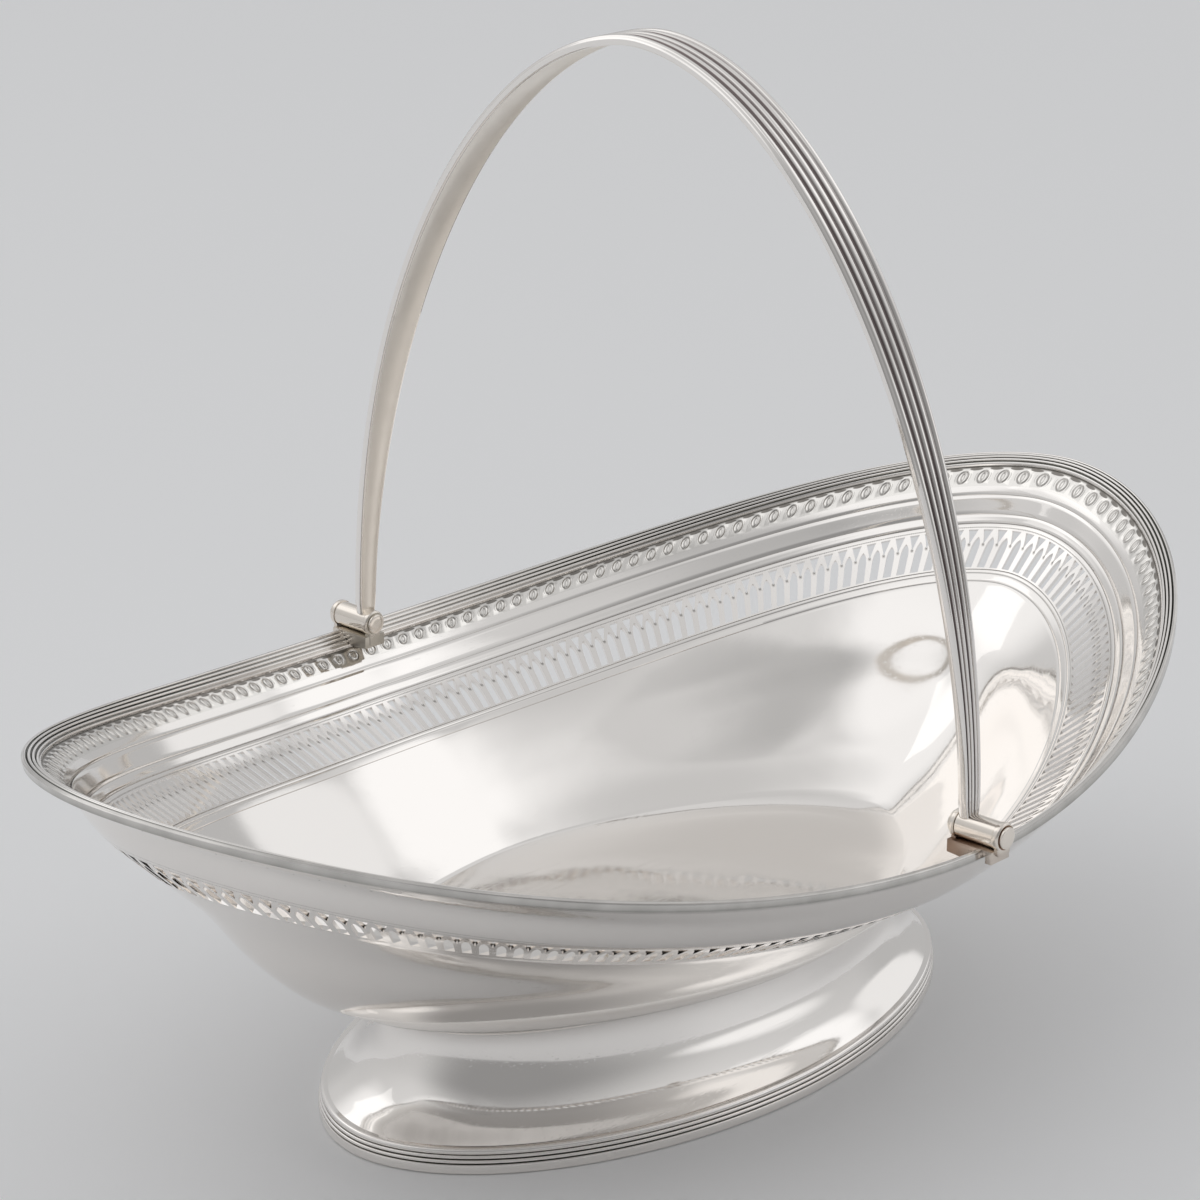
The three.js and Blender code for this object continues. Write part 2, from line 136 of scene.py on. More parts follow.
@dataclass
class BowlFace:
    """The inner face of the bowl, by a height along its levels and an angle round the oval."""

    levels: tuple[Level, ...] = (
        Level(94.5, 34.6, 51, 32.9, 1.72),
        Level(113, 45.6, 57.8, 38, 1.73),
        Level(127.2, 58.8, 65.6, 44.8, 1.74),
        Level(138.6, 73.2, 73.2, 51.4, 1.75),
        Level(150.1, 84.4, 79.4, 56.5, 1.76),
        Level(153, 87.1, 82.2, 58.4, 1.77),
        Level(163.5, 98, 94.4, 66.2, 1.81),
        Level(169.3, 107.6, 102.4, 74.5, 1.84),
        Level(174.8, 112.2, 105.4, 78, 1.86),
        Level(180, 114.9, 109, 82.4, 1.86),
    )
    end_rise: float = 1.92
    floor_z: float = 32.6
    floor_flat: float = 0.88
    sheet: float = 1.0
    gallery_foot: int = 5
    gallery_top: int = 6
    band_foot: int = 7
    moulding_foot: int = 8
    samples: int = 4000

    def __post_init__(self) -> None:
        """Builds the two profiles and the table of evenly spaced angles."""
        self.ends = SmoothCurve([(v.end_x, v.squareness, v.end_z) for v in self.levels])
        self.sides = SmoothCurve([(v.side_y, 0.0, v.side_z) for v in self.levels])
        self.top = len(self.levels) - 1
        self.angles = np.linspace(0, TURN, self.samples + 1)
        middle = np.full(self.samples + 1, (self.gallery_foot + self.gallery_top) / 2)
        steps = np.linalg.norm(np.diff(self.point(middle, self.angles), axis=0), axis=1)
        self.runs = np.concatenate([[0.0], np.cumsum(steps)])

    def point(self, height: np.ndarray, angle: np.ndarray) -> np.ndarray:
        """Points of the face, in millimetres.

        Args:
            height: Along the levels.
            angle: Round the oval, in radians.

        Returns:
            The points, one row each.
        """
        end = self.ends.at(height / self.top)
        side = self.sides.at(height / self.top)
        along = oval_term(np.cos(angle), end[:, 1])
        across = oval_term(np.sin(angle), end[:, 1])
        rise = np.abs(along) ** self.end_rise
        z = side[:, 2] + (end[:, 2] - side[:, 2]) * rise
        return np.column_stack([end[:, 0] * along, side[:, 0] * across, z])

    def normal(self, height: np.ndarray, angle: np.ndarray) -> np.ndarray:
        """Unit directions off the face, towards the inside of the bowl.

        Args:
            height: Along the levels.
            angle: Round the oval, in radians.

        Returns:
            The directions, one row each.
        """
        low = np.minimum(height, self.top - SMALL_STEP)
        up = self.point(low + SMALL_STEP, angle) - self.point(low, angle)
        after = self.point(low, angle + SMALL_STEP)
        before = self.point(low, angle - SMALL_STEP)
        off = np.cross(up, after - before)
        return off / np.linalg.norm(off, axis=1)[:, None]

    def lifted(self, height: np.ndarray, angle: np.ndarray, lift: np.ndarray) -> np.ndarray:
        """Points moved off the face.

        Args:
            height: Along the levels; below 0 it is a share of the floor, -1 at its middle.
            angle: Round the oval, in radians.
            lift: Millimetres towards the inside of the bowl.

        Returns:
            The points, in millimetres.
        """
        wall = np.maximum(height, 0)
        edge = self.point(wall, angle) + self.normal(wall, angle) * lift[:, None]
        reach = 1 + np.minimum(height, 0)
        rise = np.clip((reach - self.floor_flat) / (1 - self.floor_flat), 0, 1) ** 2
        flat = self.floor_z + lift
        floor = np.column_stack(
            [edge[:, 0] * reach, edge[:, 1] * reach, flat + (edge[:, 2] - flat) * rise]
        )
        return np.where((height < 0)[:, None], floor, edge)

    def even_angle(self, share: np.ndarray) -> np.ndarray:
        """Angles at shares of the way round, evenly spaced along the gallery."""
        return np.interp(share * self.runs[-1], self.runs, self.angles)

    def height_step(self, height: float, width: float) -> float:
        """How many levels a width in millimetres takes up, on the bowl's side and end mixed.

        Args:
            height: The level to start at.
            width: Millimetres up the wall, or down below 0.

        Returns:
            The change of height.
        """
        step = math.copysign(HEIGHT_PROBE, width)
        at = np.array([height, height + step])
        spans = [
            np.linalg.norm(np.diff(self.point(at, np.full(2, angle)), axis=0))
            for angle in (0.0, TURN / 4)
        ]
        return step * abs(width) / float(np.mean(spans))


# Modelling helpers


def deselect_all() -> None:
    """Leaves nothing selected and no mode open."""
    if bpy.context.object and bpy.context.object.mode != "OBJECT":
        bpy.ops.object.mode_set(mode="OBJECT")
    bpy.ops.object.select_all(action="DESELECT")


def make_active(piece: bpy.types.Object) -> None:
    """Selects one piece alone.

    Args:
        piece: The piece.
    """
    deselect_all()
    piece.select_set(True)
    bpy.context.view_layer.objects.active = piece


def grid_piece(name: str, columns: int, rows: int) -> bpy.types.Object:
    """Adds a flat grid to be shaped.

    Args:
        name: The piece's name.
        columns: Faces along X.
        rows: Faces along Y.

    Returns:
        The grid, one unit square round the origin.
    """
    deselect_all()
    bpy.ops.mesh.primitive_grid_add(x_subdivisions=columns, y_subdivisions=rows, size=1.0)
    piece = bpy.context.object
    piece.name = name
    piece.data.name = name
    return piece


def points_of(piece: bpy.types.Object) -> np.ndarray:
    """The piece's vertices, one row each.

    Args:
        piece: The piece.

    Returns:
        The places, in metres.
    """
    flat = np.empty(len(piece.data.vertices) * 3)
    piece.data.vertices.foreach_get("co", flat)
    return flat.reshape(-1, 3)


def place_points(piece: bpy.types.Object, points: np.ndarray) -> None:
    """Moves the piece's vertices."""
    piece.data.vertices.foreach_set("co", np.ascontiguousarray(points, np.float32).ravel())
    piece.data.update()


def grid_cells(piece: bpy.types.Object, columns: int, rows: int) -> tuple[np.ndarray, np.ndarray]:
    """The column and row number of each vertex of a new grid.

    Args:
        piece: The grid.
        columns: Its faces along X.
        rows: Its faces along Y.

    Returns:
        The columns and the rows, from 0.
    """
    at = points_of(piece)
    column = np.rint((at[:, 0] + 0.5) * columns).astype(int)
    row = np.rint((at[:, 1] + 0.5) * rows).astype(int)
    return column, row


def set_marks(piece: bpy.types.Object, name: str, values: np.ndarray) -> None:
    """Keeps a number on each vertex under a name."""
    marks = piece.data.attributes.get(name) or piece.data.attributes.new(name, "FLOAT", "POINT")
    marks.data.foreach_set("value", np.ascontiguousarray(values, np.float32))


def marks_of(piece: bpy.types.Object, name: str) -> np.ndarray:
    """The numbers kept on the vertices.

    Args:
        piece: The piece.
        name: The name that they are kept under.

    Returns:
        One number for each vertex.
    """
    values = np.empty(len(piece.data.vertices), np.float32)
    piece.data.attributes[name].data.foreach_get("value", values)
    return values.astype(float)


def face_marks(piece: bpy.types.Object, name: str) -> np.ndarray:
    """The mean of a vertex mark over each face.

    Args:
        piece: The piece.
        name: The name that they are kept under.

    Returns:
        One number for each face.
    """
    mesh = piece.data
    corners = np.empty(len(mesh.loops), np.int32)
    mesh.loops.foreach_get("vertex_index", corners)
    starts = np.empty(len(mesh.polygons), np.int32)
    mesh.polygons.foreach_get("loop_start", starts)
    totals = np.empty(len(mesh.polygons), np.int32)
    mesh.polygons.foreach_get("loop_total", totals)
    return np.add.reduceat(marks_of(piece, name)[corners], starts) / totals


def give_second_finish(piece: bpy.types.Object, chosen: np.ndarray) -> None:
    """Gives the chosen faces the second finish and the others the first."""
    piece.data.polygons.foreach_set("material_index", chosen.astype(np.int32))


def set_pattern_map(piece: bpy.types.Object, around: np.ndarray, height: np.ndarray) -> None:
    """Lays the piece's UV map: the way round in U and the height along the section in V.

    Args:
        piece: The piece.
        around: For each vertex, its share of the way round.
        height: For each vertex, its height along the section.
    """
    loops = np.empty(len(piece.data.loops), np.int32)
    piece.data.loops.foreach_get("vertex_index", loops)
    layer = piece.data.uv_layers[0] if piece.data.uv_layers else piece.data.uv_layers.new()
    layer.name = "pattern"
    places = np.column_stack([around, height])[loops]
    layer.data.foreach_set("uv", places.astype(np.float32).ravel())


def close_seams(piece: bpy.types.Object, merge: float = MERGE_DISTANCE, turn: bool = True) -> None:
    """Merges the vertices that meet, and turns the faces outwards.

    Args:
        piece: The piece.
        merge: The distance below which vertices are merged, in metres.
        turn: Whether the faces are turned.
    """
    make_active(piece)
    bpy.ops.object.mode_set(mode="EDIT")
    bpy.ops.mesh.select_all(action="SELECT")
    bpy.ops.mesh.remove_doubles(threshold=merge)
    if turn:
        bpy.ops.mesh.normals_make_consistent(inside=False)
    bpy.ops.object.mode_set(mode="OBJECT")


def select_faces(piece: bpy.types.Object, chosen: np.ndarray) -> None:
    """Opens the piece in edit mode with nothing but the chosen faces selected.

    Args:
        piece: The piece.
        chosen: True for each chosen face.
    """
    make_active(piece)
    bpy.context.tool_settings.mesh_select_mode = (False, False, True)
    piece.data.vertices.foreach_set("select", np.zeros(len(piece.data.vertices), bool))
    piece.data.edges.foreach_set("select", np.zeros(len(piece.data.edges), bool))
    piece.data.polygons.foreach_set("select", np.asarray(chosen, bool))
    bpy.ops.object.mode_set(mode="EDIT")


def delete_faces(piece: bpy.types.Object, chosen: np.ndarray, kind: str = "FACE") -> None:
    """Deletes the chosen faces.

    Args:
        piece: The piece.
        chosen: True for each chosen face.
        kind: What goes with them.
    """
    select_faces(piece, chosen)
    bpy.ops.mesh.delete(type=kind)
    bpy.ops.object.mode_set(mode="OBJECT")


def bevel_faces(piece: bpy.types.Object, chosen: np.ndarray, width: float) -> None:
    """Rounds the edges of the chosen faces.

    Args:
        piece: The piece.
        chosen: True for each chosen face.
        width: How wide, in metres.
    """
    select_faces(piece, chosen)
    bpy.ops.mesh.bevel(offset=width, segments=4, affect="EDGES")
    bpy.ops.object.mode_set(mode="OBJECT")


def face_middles(piece: bpy.types.Object) -> np.ndarray:
    """The middle of each face.

    Args:
        piece: The piece.

    Returns:
        The middles, in metres, one row each.
    """
    flat = np.empty(len(piece.data.polygons) * 3)
    piece.data.polygons.foreach_get("center", flat)
    return flat.reshape(-1, 3)


def apply_modifier(piece: bpy.types.Object, kind: str, **values: object) -> None:
    """Adds a modifier with these values and applies it.

    Args:
        piece: The piece.
        kind: The modifier's type.
        values: Its settings.
    """
    make_active(piece)
    modifier = piece.modifiers.new(kind.lower(), kind)
    for name, value in values.items():
        setattr(modifier, name, value)
    bpy.ops.object.modifier_apply(modifier=modifier.name)


def join_pieces(pieces: Sequence[bpy.types.Object]) -> bpy.types.Object:
    """Joins pieces into the first one.

    Args:
        pieces: The pieces, which share their origin.

    Returns:
        The joined piece.
    """
    make_active(pieces[0])
    for piece in pieces[1:]:
        piece.select_set(True)
    bpy.ops.object.join()
    return pieces[0]


def smooth_faces(piece: bpy.types.Object, degrees: float) -> None:
    """Shades the piece smooth, with sharp edges where faces turn by more than an angle."""
    make_active(piece)
    bpy.ops.object.shade_smooth_by_angle(angle=math.radians(degrees))


def dress(
    piece: bpy.types.Object,
    body: Body,
    slot: Slot,
    node: str,
    *finishes: bpy.types.Material,
) -> None:
    """Gives a finished piece its materials, its body and the CAD node that it stands for.

    Args:
        piece: The finished piece.
        body: The body that it moves with.
        slot: The material slot of the part; not used.
        node: The CAD node.
        finishes: The materials, in the order of the faces' indices.
    """
    piece.data.materials.clear()
    for finish in finishes:
        piece.data.materials.append(finish)
    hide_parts(node)
    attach(piece, body.value)
    log.info("%s: %d faces", piece.name, len(piece.data.polygons))


def lathe_grid(
    name: str,
    columns: int,
    profile: Sequence[tuple[float, float, float]],
    place: Callable[[np.ndarray, np.ndarray, np.ndarray], np.ndarray],
    degrees: float,
) -> bpy.types.Object:
    """Carries a profile round a piece, from a grid whose seams are then merged.

    Args:
        name: The piece's name.
        columns: Faces round the piece.
        profile: Rows of (first, second, cavity) along the profile.
        place: Makes points, in millimetres, from shares round and the rows' two values.
        degrees: The angle over which an edge is shaded sharp.

    Returns:
        The closed piece.
    """
    rows = len(profile) - 1
    piece = grid_piece(name, columns, rows)
    column, row = grid_cells(piece, columns, rows)
    table = np.array(profile, float)
    around = column / columns
    place_points(piece, place(around, table[row, 0], table[row, 1]) * MM)
    set_marks(piece, "cavity", table[row, 2])
    set_pattern_map(piece, around, table[row, 0])
    close_seams(piece)
    smooth_faces(piece, degrees)
    return piece


# Finishes


class NodeSheet:
    """Adds nodes to a material or a group and joins them."""

    def __init__(self, tree: bpy.types.NodeTree) -> None:
        """Keeps the tree."""
        self.tree = tree

    def add(self, kind: str, **values: object) -> bpy.types.Node:
        """Adds a node and sets its own properties.

        Args:
            kind: The node's type.
            values: Its properties.

        Returns:
            The node.
        """
        node = self.tree.nodes.new(kind)
        for name, value in values.items():
            setattr(node, name, value)
        return node

    def put(self, into: bpy.types.NodeSocket, value: object) -> None:
        """Links a socket to another one, or sets its value.

        Args:
            into: The socket that takes the value.
            value: A socket, a number or a colour.
        """
        if isinstance(value, bpy.types.NodeSocket):
            self.tree.links.new(value, into)
        else:
            into.default_value = value

    def maths(self, operation: str, *values: object, clamp: bool = False) -> bpy.types.NodeSocket:
        """Adds a Math node.

        Args:
            operation: What it works out.
            values: Sockets or numbers.
            clamp: Whether the result is kept from 0 to 1.

        Returns:
            The socket with the result.
        """
        node = self.add("ShaderNodeMath", operation=operation, use_clamp=clamp)
        for socket, value in zip(node.inputs, values):
            self.put(socket, value)
        return node.outputs[0]

    def fade(
        self, value: object, start: float, end: float, low: float = 0.0, high: float = 1.0
    ) -> bpy.types.NodeSocket:
        """A smooth step of a value, from low at start to high at end.

        Args:
            value: A socket or a number.
            start: Where the step starts.
            end: Where it ends.
            low: The result up to the start.
            high: The result from the end on.

        Returns:
            The socket with the result.
        """
        node = self.add("ShaderNodeMapRange", interpolation_type="SMOOTHSTEP")
        for socket, number in zip(node.inputs, (value, start, end, low, high)):
            self.put(socket, number)
        return node.outputs[0]

    def mix(self, share: object, first: object, second: object) -> bpy.types.NodeSocket:
        """Mixes two colours.

        Args:
            share: How much of the second, from 0 to 1.
            first: A socket or a colour.
            second: A socket or a colour.

        Returns:
            The socket with the result.
        """
        node = self.add("ShaderNodeMix", data_type="RGBA")
        self.put(node.inputs[0], share)
        self.put(node.inputs[6], first)
        self.put(node.inputs[7], second)
        return node.outputs[2]

    def noise(self, where: object, scale: float, detail: float = 2.0) -> bpy.types.NodeSocket:
        """Adds a noise and gives its grey value.

        Args:
            where: The socket with the coordinates.
            scale: How many lumps to a unit.
            detail: How many finer layers it has.

        Returns:
            The socket with the result.
        """
        node = self.add("ShaderNodeTexNoise")
        self.put(node.inputs["Vector"], where)
        node.inputs["Scale"].default_value = scale
        node.inputs["Detail"].default_value = detail
        return node.outputs[0]

    def stretched(
        self, where: object, turn: tuple[float, ...], scale: tuple[float, ...]
    ) -> bpy.types.NodeSocket:
        """Turns and stretches coordinates.

        Args:
            where: The socket with the coordinates.
            turn: The turns about X, Y and Z, in radians.
            scale: The factors along X, Y and Z.

        Returns:
            The socket with the new coordinates.
        """
        node = self.add("ShaderNodeMapping")
        self.put(node.inputs["Vector"], where)
        node.inputs["Rotation"].default_value = turn
        node.inputs["Scale"].default_value = scale
        return node.outputs[0]


def new_group(
    name: str, inputs: dict[str, str], outputs: dict[str, str]
) -> tuple[bpy.types.NodeTree, NodeSheet, bpy.types.Node, bpy.types.Node]:
    """Starts a shader node group.

    Args:
        name: The group's name.
        inputs: Socket kinds by name.
        outputs: Socket kinds by name.

    Returns:
        The group, its node sheet, and its input and output nodes.
    """
    group = bpy.data.node_groups.new(name, "ShaderNodeTree")
    for label, kind in inputs.items():
        group.interface.new_socket(name=label, in_out="INPUT", socket_type=kind)
    for label, kind in outputs.items():
        group.interface.new_socket(name=label, in_out="OUTPUT", socket_type=kind)
    sheet = NodeSheet(group)
    return group, sheet, sheet.add("NodeGroupInput"), sheet.add("NodeGroupOutput")


FLOAT = "NodeSocketFloat"
VECTOR = "NodeSocketVector"


class FinishGroups:
    """The effects that the silver finishes share, each built once."""

    def __init__(self) -> None:
        """Builds the groups."""
        self.hand_finish = self._hand_finish()
        self.tarnish_and_shade = self._tarnish_and_shade()
        self.dots = self._dots()
        self.bright_cut = self._bright_cut()

    def _hand_finish(self) -> bpy.types.NodeTree:
        """Slow waves of hammered and planished sheet, fine scratches and smudges.

        Returns:
            The node group.
        """
        group, sheet, given, made = new_group(
            "hand_finish",
            {"Place": VECTOR, "Wave": FLOAT, "Scratch": FLOAT},
            {"Height": FLOAT, "Smudge": FLOAT},
        )
        place = given.outputs["Place"]
        slow = sheet.noise(place, scale=20.0, detail=1.0)
        quick = sheet.noise(place, scale=48.0)
        wave = sheet.maths("MULTIPLY_ADD", quick, 0.30, slow)
        wave = sheet.maths("MULTIPLY", wave, given.outputs["Wave"])
        lines = None
        for turn in ((0.3, 0.5, 0.4), (1.1, 0.2, 2.1)):
            stretched = sheet.stretched(place, turn, (1.0, 26.0, 26.0))
            line = sheet.fade(sheet.noise(stretched, scale=60.0), start=0.64, end=0.74)
            lines = line if lines is None else sheet.maths("ADD", lines, line)
        scratch = sheet.maths("MULTIPLY", lines, given.outputs["Scratch"])
        sheet.put(made.inputs["Height"], sheet.maths("SUBTRACT", wave, scratch))
        cloud = sheet.noise(place, scale=38.0, detail=4.0)
        smudge = sheet.maths("MULTIPLY_ADD", lines, 0.25, cloud)
        sheet.put(made.inputs["Smudge"], smudge)
        return group

    def _tarnish_and_shade(self) -> bpy.types.NodeTree:
        """How dark the silver is at its marked places: tarnish in real hollows, and painted shade
        where a mark stands for shadow or a dark reflection.

        Returns:
            The node group.
        """
        group, sheet, given, made = new_group(
            "tarnish_and_painted_shade",
            {"Place": VECTOR, "Cavity": FLOAT, "Amount": FLOAT},
            {"Mask": FLOAT},
        )
        uneven = sheet.noise(given.outputs["Place"], scale=160.0, detail=3.0)
        spread = 0.12
        deep = sheet.maths("MULTIPLY_ADD", uneven, spread, -spread / 2)
        deep = sheet.maths("ADD", given.outputs["Cavity"], deep)
        dark = sheet.fade(deep, start=0.28, end=0.85)
        mask = sheet.maths("MULTIPLY", dark, given.outputs["Amount"])
        sheet.put(made.inputs["Mask"], mask)
        return group

    def _dots(self) -> bpy.types.NodeTree:
        """A line of punched dots at one height of the pattern map.

        Returns:
            The node group.
        """
        group, sheet, given, made = new_group(
            "dotted_line",
            {"Around": FLOAT, "Up": FLOAT, "Line": FLOAT, "Half Width": FLOAT, "Count": FLOAT},
            {"Mask": FLOAT},
        )
        off = sheet.maths("SUBTRACT", given.outputs["Up"], given.outputs["Line"])
        off = sheet.maths("DIVIDE", sheet.maths("ABSOLUTE", off), given.outputs["Half Width"])
        step = sheet.maths("MULTIPLY", given.outputs["Around"], given.outputs["Count"])
        beat = sheet.maths("SUBTRACT", sheet.maths("FRACT", step), 0.5)
        dot_share = 2.4
        beat = sheet.maths("MULTIPLY", sheet.maths("ABSOLUTE", beat), dot_share)
        reach = sheet.maths("ADD", sheet.maths("POWER", off, 2.0), sheet.maths("POWER", beat, 2.0))
        sheet.put(made.inputs["Mask"], sheet.fade(reach, start=1.0, end=0.4))
        return group

    def _bright_cut(self) -> bpy.types.NodeTree:
        """The strokes of one bright-cut motif: an oval with its middle stroke, and dark lenses.

        Returns:
            The node group.
        """
        group, sheet, given, made = new_group(
            "bright_cut", {"Around": FLOAT, "Up": FLOAT}, {"Mask": FLOAT, "Cut": FLOAT}
        )
        motif = BrightCutTile()
        step = sheet.maths("MULTIPLY", given.outputs["Around"], float(motif.count))
        x = sheet.maths("SUBTRACT", sheet.maths("FRACT", step), 0.5)
        y = sheet.maths("SUBTRACT", given.outputs["Up"], BowlFace.band_foot + motif.middle)
        total = None
        for stroke in motif.strokes:
            off = self._ring(sheet, x, y, stroke.wide, stroke.tall)
            line = sheet.fade(off, stroke.edge, stroke.core, high=stroke.strength)
            if stroke.reach:
                near = sheet.fade(sheet.maths("ABSOLUTE", y), *stroke.reach)
                line = sheet.maths("MULTIPLY", line, near)
            total = sheet.maths("MAXIMUM", total, line) if total is not None else line
        apart = sheet.maths("SUBTRACT", 0.5, sheet.maths("ABSOLUTE", x))
        above = sheet.maths("SUBTRACT", y, motif.lens_middle)
        lens = sheet.maths("POWER", sheet.maths("DIVIDE", apart, motif.lens_wide), 2.0)
        tall = sheet.maths("POWER", sheet.maths("DIVIDE", above, motif.lens_tall), 2.0)
        edge = sheet.fade(sheet.maths("ADD", lens, tall), start=1.2, end=0.7)
        sheet.put(made.inputs["Cut"], total)
        sheet.put(made.inputs["Mask"], sheet.maths("MAXIMUM", total, edge))
        return group

    @staticmethod
    def _ring(
        sheet: NodeSheet, x: object, y: object, wide: float, tall: float
    ) -> bpy.types.NodeSocket:
        """How far a point is off an oval, as a share of the oval's size.

        Args:
            sheet: The group's sheet.
            x: The socket with the place across the motif.
            y: The socket with the place up the motif.
            wide: Half the oval's width.
            tall: Half its height.

        Returns:
            The socket with the result.
        """
        across = sheet.maths("POWER", sheet.maths("ABSOLUTE", sheet.maths("DIVIDE", x, wide)), 2.0)
        along = sheet.maths("POWER", sheet.maths("ABSOLUTE", sheet.maths("DIVIDE", y, tall)), 2.0)
        reach = sheet.maths("SQRT", sheet.maths("ADD", across, along))
        return sheet.maths("ABSOLUTE", sheet.maths("SUBTRACT", reach, 1.0))


@dataclass(frozen=True)
class DottedLine:
    """A punched line of the pattern: its height, half its width and its dots round the bowl."""

    height: float
    half_width: float
    count: int


@dataclass(frozen=True)
class SilverFinish:
    """One finish of polished silver."""

    name: str
    colour: tuple[float, float, float, float] = (0.93, 0.90, 0.87, 1.0)
    # the colour of tarnish in hollows, also used as painted shade on some parts
    tarnish_and_shade_colour: tuple[float, float, float, float] = (0.10, 0.085, 0.07, 1.0)
    tarnish_and_shade: float = 0.9
    roughness: float = 0.055
    roughness_spread: float = 0.05
    wave: float = 0.22
    scratch: float = 0.0035
    tarnish_roughness: float = 0.25
    smudge_range: tuple[float, float] = (0.3, 0.9)
    dot_dark: float = 0.45
    cut_dark: float = 0.8
    punch_depth: float = 0.08
    dotted: tuple[DottedLine, ...] = ()
    bright_cut: bool = False

    def material(self, groups: FinishGroups) -> bpy.types.Material:
        """Builds the finish's material.

        Args:
            groups: The shared effects.

        Returns:
            The material.
        """
        made = bpy.data.materials.new(self.name)
        made.use_nodes = True
        sheet = NodeSheet(made.node_tree)
        shader = made.node_tree.nodes["Principled BSDF"]
        shader.inputs["Metallic"].default_value = 1.0
        place = sheet.add("ShaderNodeTexCoord").outputs["Object"]
        marks = sheet.add("ShaderNodeAttribute", attribute_name="cavity").outputs["Fac"]

        finish = sheet.add("ShaderNodeGroup", node_tree=groups.hand_finish)
        sheet.put(finish.inputs["Place"], place)
        finish.inputs["Wave"].default_value = self.wave
        finish.inputs["Scratch"].default_value = self.scratch
        tarnish_and_shade = sheet.add("ShaderNodeGroup", node_tree=groups.tarnish_and_shade)
        sheet.put(tarnish_and_shade.inputs["Place"], place)
        sheet.put(tarnish_and_shade.inputs["Cavity"], marks)
        tarnish_and_shade.inputs["Amount"].default_value = self.tarnish_and_shade
        mask = tarnish_and_shade.outputs["Mask"]
        height = finish.outputs["Height"]

        if self.dotted or self.bright_cut:
            pattern = sheet.add("ShaderNodeUVMap", uv_map="pattern").outputs[0]
            split = sheet.add("ShaderNodeSeparateXYZ")
            sheet.put(split.inputs[0], pattern)
            around, up = split.outputs[0], split.outputs[1]
        for line in self.dotted:
            dots = sheet.add("ShaderNodeGroup", node_tree=groups.dots)
            sheet.put(dots.inputs["Around"], around)
            sheet.put(dots.inputs["Up"], up)
            dots.inputs["Line"].default_value = line.height
            dots.inputs["Half Width"].default_value = line.half_width
            dots.inputs["Count"].default_value = float(line.count)
            punched = dots.outputs["Mask"]
            mask = sheet.maths("MAXIMUM", mask, sheet.maths("MULTIPLY", punched, self.dot_dark))
            height = sheet.maths("MULTIPLY_ADD", punched, -self.punch_depth, height)
        if self.bright_cut:
            cut = sheet.add("ShaderNodeGroup", node_tree=groups.bright_cut)
            sheet.put(cut.inputs["Around"], around)
            sheet.put(cut.inputs["Up"], up)
            dark = sheet.maths("MULTIPLY", cut.outputs["Mask"], self.cut_dark)
            mask = sheet.maths("MAXIMUM", mask, dark)
            height = sheet.maths("MULTIPLY_ADD", cut.outputs["Cut"], -self.punch_depth, height)

        # the mask mixes tarnish and, on some parts, painted shade into the base colour
        sheet.put(shader.inputs["Base Color"], sheet.mix(mask, self.colour, self.tarnish_and_shade_colour))
        low = self.roughness
        high = self.roughness + self.roughness_spread
        rough = sheet.fade(finish.outputs["Smudge"], *self.smudge_range, low, high)
        rough = sheet.maths("MULTIPLY_ADD", mask, self.tarnish_roughness, rough)
        sheet.put(shader.inputs["Roughness"], rough)
        bump = sheet.add("ShaderNodeBump")
        bump.inputs["Distance"].default_value = MM
        sheet.put(bump.inputs["Height"], height)
        sheet.put(shader.inputs["Normal"], bump.outputs[0])
        return made


# The bowl


@dataclass
class GroovedRows:
    """Rows of a section with engraved lines cut into it."""

    face: BowlFace
    half_width: float = 0.19
    depth: float = 0.13
    edge_cavity: float = 0.1
    cavity: float = 0.6
    deep_cavity: float = 0.7

    def groove(self, height: float) -> list[tuple[float, float, float]]:
        """The three rows of an engraved line.

        Args:
            height: The level of its middle.

        Returns:
            Height, lift and cavity.
        """
        low = height + self.face.height_step(height, -self.half_width)
        high = height + self.face.height_step(height, self.half_width)
        edge = self.edge_cavity
        return [(low, 0.0, edge), (height, -self.depth, self.cavity), (high, 0.0, edge)]

    @staticmethod
    def plain(start: float, end: float, rows: int) -> list[tuple[float, float, float]]:
        """Even rows between two heights, without the two ends."""
        return [(float(h), 0.0, 0.0) for h in np.linspace(start, end, rows + 1)[1:-1]]


